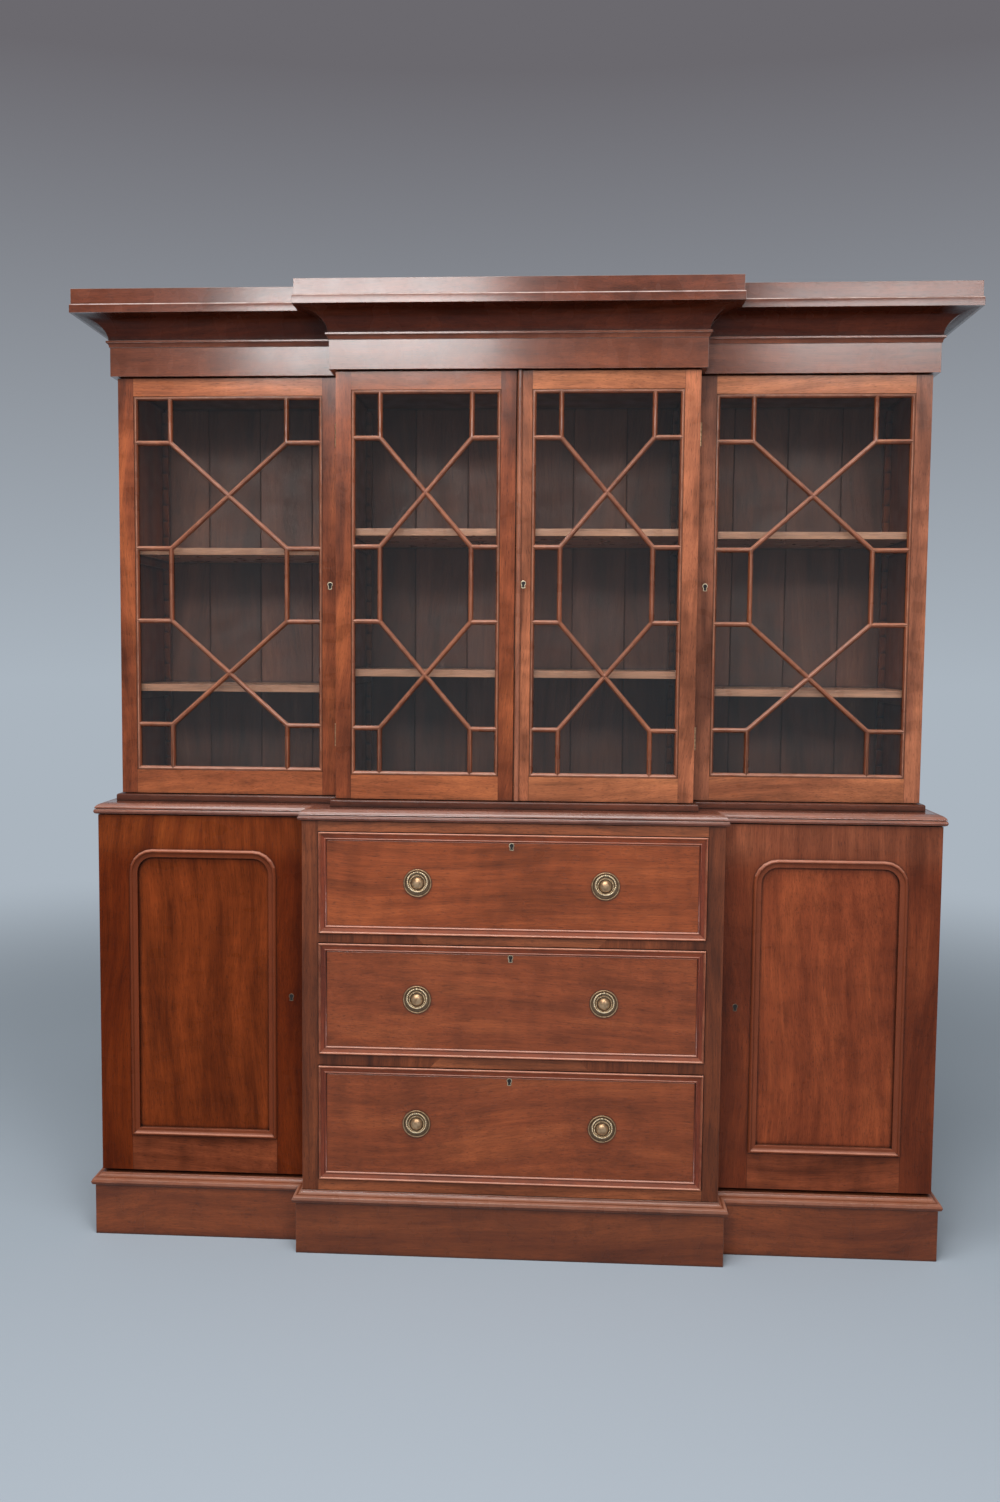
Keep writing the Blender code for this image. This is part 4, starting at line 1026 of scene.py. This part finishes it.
# Doors: a door's field lies inside the margins of its stiles, left and right, and its rails
glazedDoors = {
    "left_wing": {"margins": (0.035, 0.0395), "seed": 70.0, "stile": "upperStile", "rail": "upperRail"},
    "left_centre": {"margins": (0.034, 0.033), "seed": 74.0, "stile": "upperStile", "rail": "upperRail"},
    # The right-hand doors take the tones with a painted sheen
    "right_centre": {"margins": (0.033, 0.034), "seed": 78.0, "stile": "paleStile", "rail": "greyRail"},
    "right_wing": {"margins": (0.0395, 0.035), "seed": 82.0, "stile": "greyStile", "rail": "greyRail"},
}
glazedRails = {"top": 0.0397, "foot": 0.0537}
glazedStile = {
    "along": "z",
    "figure": 18.0,
    "mottle": 0.2,
    "shine": 0.15,
    "coat": 0.22,
    "split": "joinery",
}
glazedRail = {"along": "x", "figure": 14.0, "streaks": 0.24}
glazingBar = {
    "along": "z",
    "tone": "bar",
    "reach": 0.004,
    "wear": 0.95,
    "worn": (0.62, 0.31, 0.19),
    "ledge": 0.4,
    "ledgeColour": (0.56, 0.27, 0.18),
}
meetingBead = {"along": "z", "seed": 90.0, "tone": "greyStile"}

# Hinge barrels: their reach round the door's axis, and the gap that they leave at the door's edge
barrel = {"reach": 0.0034, "length": 0.051, "knuckles": 5, "gap": 0.0022, "near": 0.01}

# The bars drawn fuller: how deep a level lies behind the crown, how far its points move from the bar's
# middle, and how far forward. A wall faces sideways by wallShare or more, and two walls are one when
# they are as like as sameWall.
barSwell = {
    "levels": ((0.001, 0.0003, 0.001), (0.003, 0.0016, 0.0), (1.0, 0.0015, 0.0)),
    "border": 0.0005,
    "wallShare": 0.3,
    "sameWall": 0.99,
}
barArris = {**arrises, "round": 0.0005, "smallestRun": 0.001}

# The rounded sticking round each opening, in front of the lattice's border
sticking = {
    "gap": 0.0011,
    "width": 0.0038,
    "sunk": 0.0004,
    "thick": 0.0034,
    "round": 0.0016,
    "segments": 3,
    "wear": 0.45,
}


def swellBars(shape):
    look = barSwell
    along = list(zip(*(vert.co for vert in shape.verts)))  # every x, every y and every z
    low, high = Vector(map(min, along)), Vector(map(max, along))
    moves = {}
    for vert in shape.verts:
        spot = vert.co
        if min(spot.x - low.x, high.x - spot.x, spot.z - low.z, high.z - spot.z) < look["border"]:
            continue
        walls = []
        for face in vert.link_faces:
            across = Vector((face.normal.x, 0.0, face.normal.z))
            away = across.normalized()
            isNew = all(away.dot(other) < look["sameWall"] for other in walls)
            if across.length > look["wallShare"] and isNew:
                walls.append(away)
        if len(walls) not in (1, 2):
            continue
        away = walls[0] if len(walls) == 1 else (walls[0] + walls[1]) / (1 + walls[0].dot(walls[1]))
        sideways, forward = next(level[1:] for level in look["levels"] if spot.y - low.y < level[0])
        moves[vert] = sideways * away - Vector((0.0, forward, 0.0))
    for vert, move in moves.items():
        vert.co += move


def makeSticking(word, field, plane, material, body):
    look = {**arrises, **sticking}
    middle = Vector((field["middleX"], plane + look["sunk"] + look["thick"] / 2, field["middleZ"]))
    wide, tall = (2 * (field[half] - look["gap"]) for half in ("halfWidth", "halfHeight"))
    shape = bmesh.new()
    size = Matrix.Diagonal((wide, look["thick"], tall, 1.0))
    bmesh.ops.create_cube(shape, size=1.0, matrix=Matrix.Translation(middle) @ size)
    flat = [face for face in shape.faces if abs(face.normal.y) > 0.9]  # front and back
    bmesh.ops.inset_individual(shape, faces=flat, thickness=look["width"], use_even_offset=True)
    rims = list({edge for face in flat for edge in face.edges})
    bmesh.ops.delete(shape, geom=flat, context="FACES_ONLY")
    bmesh.ops.bridge_loops(shape, edges=rims)
    bmesh.ops.recalc_face_normals(shape, faces=shape.faces)
    rounded = shape.verts.layers.float.new("rounded")
    square = [edge for edge in shape.edges if foldOf(edge) > math.radians(look["sharperThan"])]
    front = [edge for edge in square if all(vert.co.y < middle.y for vert in edge.verts)]
    roundEdges(shape, front, look["round"], look["segments"], rounded)
    markLedgeHighlights(shape)
    finishPiece(shape, word + "_sticking", [material], body)


# The faces of the hinge barrels, which stand round the door's axis, take the brass as second
# material, and their points carry how far along the knuckles they are
def markBarrels(shape, body):
    axisX, axisY = jointOf[body]["pos_m"][:2]
    knuckles = shape.verts.layers.float.new("knuckles")
    points = []
    for face in shape.faces:
        if max(math.hypot(vert.co.x - axisX, vert.co.y - axisY) for vert in face.verts) < barrel["reach"]:
            face.material_index = 1
            points.extend(face.verts)
    middle = sum(point.co.z for point in points) / len(points)
    for below in (True, False):
        group = [point for point in points if (point.co.z < middle) == below]
        foot = min(point.co.z for point in group)
        for point in group:
            point[knuckles] = 0.5 + (point.co.z - foot) / barrel["length"] * barrel["knuckles"]


def hangDoor(node, wood):
    shape = dressedShape(node, arrises)
    markBarrels(shape, bodyOf(node))
    finishNode(shape, node, [wood, brass])


def doorField(node, margins, rails):
    low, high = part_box(node)
    axisX = jointOf[bodyOf(node)]["pos_m"][0]
    left = axisX + barrel["gap"] if abs(axisX - low.x) < barrel["near"] else low.x
    right = axisX - barrel["gap"] if abs(axisX - high.x) < barrel["near"] else high.x
    return fieldOf(left + margins[0], right - margins[1], low.z + rails["foot"], high.z - rails["top"])


def makeGlazedDoors():
    for word, door in glazedDoors.items():
        node = word + "_door_frame"
        field = doorField(node, door["margins"], glazedRails)
        rails = {**glazedRail, "seed": door["seed"] + 0.5, "tone": door["rail"]}
        look = {**glazedStile, "seed": door["seed"], "tone": door["stile"], "second": rails, "field": field}
        hangDoor(node, polishedWood(word + "DoorWood", look))
        bars = {**glazingBar, "seed": door["seed"] + 1}
        stick = polishedWood(word + "StickingWood", {**bars, "wear": sticking["wear"]})
        lattice = word + "_glazing_bars"
        shape = dressedShape(lattice, barArris, swellBars)
        finishNode(shape, lattice, [polishedWood(word + "BarWood", bars)])
        makeSticking(word, field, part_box(node)[0].y, stick, bodyOf(node))
        coat(word + "_glass", glass)
    dress("meeting_bead", polishedWood("meetingBeadWood", meetingBead))


# Cupboards: the grain stands upright over the whole door, apart from the bottom rail between its
# joints, and the raised moulding round the panel is paler
# Each door's head tint is painted light: the top of the door made paler and lighter
cupboards = {
    "left": {
        "margins": (0.0715, 0.0695),
        "seed": 100.0,
        "stile": "cupboardStile",
        "panel": "cupboardPanel",
        "finish": {"shine": 0.07, "coat": 0.06},
        "headTint": (1.5, 1.95, 2.6),
    },
    "right": {
        "margins": (0.0695, 0.0715),
        "seed": 110.0,
        "stile": "rightStile",
        "panel": "rightPanel",
        "finish": {"shine": 0.15, "coat": 0.12},
        "headTint": (1.4, 1.9, 2.6),
    },
}
cupboardRails = {"top": 0.0775, "foot": 0.0824}
cupboardStile = {
    "along": "z",
    "figure": 18.0,
    "split": "foot",
    "ledge": 0.9,
    "ledgeColour": (0.54, 0.24, 0.16),
    "proud": -0.149,
    "proudShare": 0.5,
    "proudColour": (0.235, 0.062, 0.028),
}
cupboardRail = {"along": "x", "tone": "cupboardRail", "figure": 20.0, "mottle": 0.2}
cupboardPanel = {"along": "z", "figure": 22.0, "mottle": 0.1}


def makeCupboards():
    for word, door in cupboards.items():
        node = word + "_cupboard_door_frame"
        look = {**cupboardStile, **door["finish"], "seed": door["seed"], "tone": door["stile"]}
        look["second"] = {**cupboardRail, "seed": door["seed"] + 0.5}
        look["field"] = doorField(node, door["margins"], cupboardRails)
        look["head"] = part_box(node)[1].z
        look["headTint"] = door["headTint"]
        hangDoor(node, polishedWood(word + "CupboardWood", look))
        panel = {**cupboardPanel, **door["finish"], "seed": door["seed"] + 3, "tone": door["panel"]}
        coat(word + "_cupboard_panel", polishedWood(word + "PanelWood", panel))


# Drawers: long grain in the field, and along the top and foot of the mitred edge round it
drawers = {
    "bottom": {"seed": 120.0, "tone": "lowDrawer"},
    "middle": {"seed": 124.0, "tone": "lowDrawer"},
    "top": {"seed": 128.0, "tone": "topDrawer"},
}
drawerEdge = {
    "border": 0.0192,
    "along": "z",
    "tone": "drawerEdge",
    "coat": 0.2,
    "shine": 0.28,
    "split": "drawer",
    "edgeTint": (0.92, 0.8, 0.8),
    "wear": 1.0,
    "worn": (0.62, 0.25, 0.13),
    "ledge": 0.85,
    "ledgeColour": (0.72, 0.36, 0.26),
}
drawerFront = {"along": "x", "figure": 17.0, "mottle": 0.12}
drawerLining = {"along": "x", "tone": "shelf", "coat": 0.0, "rough": 0.5, "pores": 0.12}

# How far in from a drawer's edge its arrises are rubbed bright, with wear and a painted highlight, and how
# much of that is left further in
drawerRubAndHighlight = {"reach": 0.006, "share": 0.25, "round": 0.0005}


def calmInnerArrises(shape, low, high):
    rounded = shape.verts.layers.float["rounded"]
    for vert in shape.verts:
        inset = min(vert.co.x - low.x, high.x - vert.co.x, vert.co.z - low.z, high.z - vert.co.z)
        if inset > drawerRubAndHighlight["reach"]:
            vert[rounded] *= drawerRubAndHighlight["share"]


def makeDrawers():
    for word, drawer in drawers.items():
        node = word + "_drawer_front"
        look = {**drawerEdge, "seed": drawer["seed"] + 1, "second": {**drawerFront, **drawer}}
        look["field"] = insetField(node, drawerEdge["border"])
        shape = dressedShape(node, {**arrises, "round": drawerRubAndHighlight["round"]})
        calmInnerArrises(shape, *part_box(node))
        finishNode(shape, node, [polishedWood(word + "DrawerWood", look)])
        lining = {**drawerLining, "seed": drawer["seed"] + 2}
        coat(word + "_drawer_box", polishedWood(word + "LiningWood", lining))


# Round ring handles. The profile is radius and height over the drawer in millimetres, and how dark it is
# there:
# patina in the grooves, and painted shade at the outer rim where the plate meets the drawer
handle = {
    "profile": (
        (31.0, 0.0, 1.0), (31.0, 1.9, 0.8), (30.7, 2.8, 0.6), (29.9, 3.4, 0.4), (28.9, 3.4, 0.4),
        (28.1, 2.9, 0.7), (27.5, 2.1, 1.0), (26.6, 1.7, 1.0), (24.0, 1.7, 0.8), (21.0, 1.7, 0.9),
        (19.7, 1.7, 1.0), (19.1, 2.1, 0.9), (18.7, 2.7, 0.3), (15.8, 2.7, 0.3), (15.3, 2.2, 1.0),
        (14.2, 2.1, 1.0), (13.6, 2.6, 0.7), (13.3, 4.0, 0.5), (12.8, 5.6, 0.4), (11.6, 7.5, 0.3),
        (9.7, 9.0, 0.2), (7.0, 10.2, 0.2), (3.8, 10.8, 0.2), (0.0, 11.0, 0.2),
    ),
    "turns": 56,
    "beadSides": (10, 6),
    "rodSides": 16,
    "collarBeads": 30,
    "collarRadius": 0.0171,
    "collarBead": 0.0014,
    "collarHeight": 0.0032,
    "ringRadius": 0.0217,
    "ringTurns": 64,
    "ringWire": 0.0014,
    "ringWireSides": 10,
    "ringBeads": 32,
    "ringBead": 0.002,
    "ringBeadStretch": 1.12,
    "ringStand": 0.0065,
    "pivotRise": 0.0249,
    "pivotRadius": 0.002,
    "pivotLength": 0.008,
    "lugRadius": 0.0017,
    "lugWidth": 0.002,
    "lugGap": 0.0004,
    "webShare": 1.6,
}
fullTurn = math.radians(360)
toFront = Matrix.Rotation(fullTurn / 4, 4, "X")
toSide = Matrix.Rotation(fullTurn / 4, 4, "Y")


# Everything is made facing up about the origin, then turned to the front and put on its drawer
def addBead(shape, radius, place, stretch=1.0, turn=0.0):
    size = Matrix.Diagonal((1.0, stretch, 1.0, 1.0))
    placing = Matrix.Translation(place) @ Matrix.Rotation(turn, 4, "Z") @ size
    around, down = handle["beadSides"]
    bead = bmesh.ops.create_uvsphere(shape, u_segments=around, v_segments=down, radius=radius, matrix=placing)
    return bead["verts"]


def addRod(shape, radius, length, place):
    bmesh.ops.create_cone(
        shape,
        cap_ends=True,
        segments=handle["rodSides"],
        radius1=radius,
        radius2=radius,
        depth=length,
        matrix=Matrix.Translation(place) @ toSide,
    )


def spinClosed(shape, geom, middle, steps):
    about = {"cent": middle, "axis": (0, 0, 1), "angle": fullTurn}
    bmesh.ops.spin(shape, geom=geom, steps=steps, use_merge=True, **about)
    bmesh.ops.remove_doubles(shape, verts=shape.verts, dist=arrises["mergeReach"] / 10)
    bmesh.ops.recalc_face_normals(shape, faces=shape.faces)


def turnedPlate(look):
    shape = bmesh.new()
    points = [(0.0, 0.0, 0.0), *look["profile"]]
    verts = [shape.verts.new((radius / 1000, 0.0, height / 1000)) for radius, height, dirt in points]
    edges = [shape.edges.new(pair) for pair in zip(verts, verts[1:])]
    spinClosed(shape, verts + edges, (0, 0, 0), look["turns"])
    hollow = shape.verts.layers.float.new("hollow")
    for vert in shape.verts:
        spot = Vector((math.hypot(vert.co.x, vert.co.y), vert.co.z)) * 1000
        vert[hollow] = min(points, key=lambda point: (Vector(point[:2]) - spot).length)[2]
    for index in range(look["collarBeads"]):
        angle = fullTurn * index / look["collarBeads"]
        radius = look["collarRadius"]
        spot = (radius * math.cos(angle), radius * math.sin(angle), look["collarHeight"])
        for vert in addBead(shape, look["collarBead"], spot):
            for face in vert.link_faces:
                face.material_index = 1
    for side in (-1, 1):
        middle = side * (look["pivotLength"] / 2 + look["lugGap"] + look["lugWidth"] / 2)
        addRod(shape, look["lugRadius"], look["lugWidth"], (middle, look["pivotRise"], look["ringStand"]))
        web = Matrix.Translation((middle, look["pivotRise"], look["ringStand"] / 2))
        size = (look["lugWidth"], look["webShare"] * look["lugRadius"], look["ringStand"], 1.0)
        bmesh.ops.create_cube(shape, size=1.0, matrix=web @ Matrix.Diagonal(size))
    return shape


def beadedRing(look):
    shape = bmesh.new()
    middle = Vector((0.0, look["pivotRise"] - look["ringRadius"], look["ringStand"]))
    section = Matrix.Translation(middle) @ Matrix.Translation((look["ringRadius"], 0.0, 0.0)) @ toFront
    sides = look["ringWireSides"]
    wire = bmesh.ops.create_circle(shape, segments=sides, radius=look["ringWire"], matrix=section)["verts"]
    rim = list({edge for vert in wire for edge in vert.link_edges})
    spinClosed(shape, wire + rim, middle, look["ringTurns"])
    for index in range(1, look["ringBeads"]):
        angle = fullTurn / 4 + fullTurn * index / look["ringBeads"]
        spot = middle + look["ringRadius"] * Vector((math.cos(angle), math.sin(angle), 0.0))
        addBead(shape, look["ringBead"], spot, look["ringBeadStretch"], angle)
    addRod(shape, look["pivotRadius"], look["pivotLength"], (0.0, look["pivotRise"], look["ringStand"]))
    return shape


def makeHandles():
    parts = {"plate": (turnedPlate, [brass, ringBrass]), "ring": (beadedRing, [ringBrass])}
    masters = {part: meshOf("master_" + part, maker(handle)) for part, (maker, metals) in parts.items()}
    for word in drawers:
        for side in ("left", "right"):
            low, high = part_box(f"{word}_drawer_{side}_handle_plate")
            placing = Matrix.Translation(((low.x + high.x) / 2, high.y, (low.z + high.z) / 2)) @ toFront
            for part, master in masters.items():
                node = f"{word}_drawer_{side}_handle_{part}"
                shape = bmesh.new()
                shape.from_mesh(master)
                bmesh.ops.transform(shape, matrix=placing, verts=shape.verts)
                finishPiece(shape, f"beaded_{node}", parts[part][1], bodyOf(node), [node])


# Keyholes: a thin brass thread let into the wood round a hole whose dark is painted shade on a near-black
# sheet just behind it, as x, z, front plane and body
keyholes = (
    (-0.4215, 1.497, -0.0843, "left_wing_door"),
    (0.018, 1.4986, -0.1503, "right_centre_door"),
    (0.4215, 1.497, -0.0843, "right_wing_door"),
    (-0.5, 0.563, -0.1483, "left_cupboard_door"),
    (0.5, 0.563, -0.1483, "right_cupboard_door"),
    (0.0, 0.9255, -0.2143, "top_drawer"),
    (0.0, 0.6772, -0.2143, "middle_drawer"),
    (0.0, 0.4005, -0.2143, "bottom_drawer"),
)
keyhole = {
    "sides": 24,
    "radius": 0.0058,
    "leg": 0.0085,
    "legShare": 0.92,
    "footStart": 0.45,
    "footShare": 0.45,
    "neck": 0.0052,
    "neckShare": 0.74,
    "thread": 0.0012,
    "proud": 0.00045,
    "sunk": 0.0004,
}


def onlyA(kind, items):
    return [item for item in items if isinstance(item, kind)]


def keyholeShape(look):
    shape = bmesh.new()
    bmesh.ops.create_circle(shape, cap_ends=True, segments=look["sides"], radius=look["radius"])
    for vert in shape.verts:
        if vert.co.y < -look["footStart"] * look["radius"]:
            vert.co.y = vert.co.y * look["footShare"] - look["leg"]
            vert.co.x *= look["legShare"]
    sides = [edge for edge in shape.edges if edge.calc_length() > look["radius"]]
    cut = bmesh.ops.subdivide_edges(shape, edges=sides, cuts=1)["geom_inner"]
    for vert in onlyA(bmesh.types.BMVert, cut):
        vert.co.x *= look["neckShare"]
        vert.co.y = -look["neck"]
    bmesh.ops.translate(shape, vec=(0.0, look["leg"] / 2 - look["radius"] / 4, 0.0), verts=shape.verts)
    raised = bmesh.ops.extrude_face_region(shape, geom=shape.faces[:])["geom"]
    bmesh.ops.translate(shape, vec=(0.0, 0.0, look["proud"]), verts=onlyA(bmesh.types.BMVert, raised))
    top = onlyA(bmesh.types.BMFace, raised)
    bmesh.ops.inset_region(shape, faces=top, thickness=look["thread"], use_even_offset=True)
    hole = bmesh.ops.extrude_face_region(shape, geom=top)["geom"]
    bmesh.ops.delete(shape, geom=[face for face in top if face.is_valid], context="FACES_ONLY")
    bmesh.ops.translate(shape, vec=(0.0, 0.0, -look["sunk"]), verts=onlyA(bmesh.types.BMVert, hole))
    for face in onlyA(bmesh.types.BMFace, hole):
        face.material_index = 1
        for edge in face.edges:
            for wall in edge.link_faces:
                wall.material_index = 1
    bmesh.ops.recalc_face_normals(shape, faces=shape.faces)
    return shape


def makeKeyholes():
    for x, z, plane, body in keyholes:
        shape = keyholeShape(keyhole)
        bmesh.ops.transform(shape, matrix=Matrix.Translation((x, plane, z)) @ toFront, verts=shape.verts)
        thread = dullBrass if "cupboard" in body else threadBrass
        finishPiece(shape, "keyhole_" + body, [thread, holeShade], body)


makeMouldings()
makeCarcass()
makeBookshelves()
makeFaceFrame()
makeGlazedDoors()
makeCupboards()
makeDrawers()
print("woodwork dressed")
makeHandles()
makeKeyholes()
print("brass fitted")
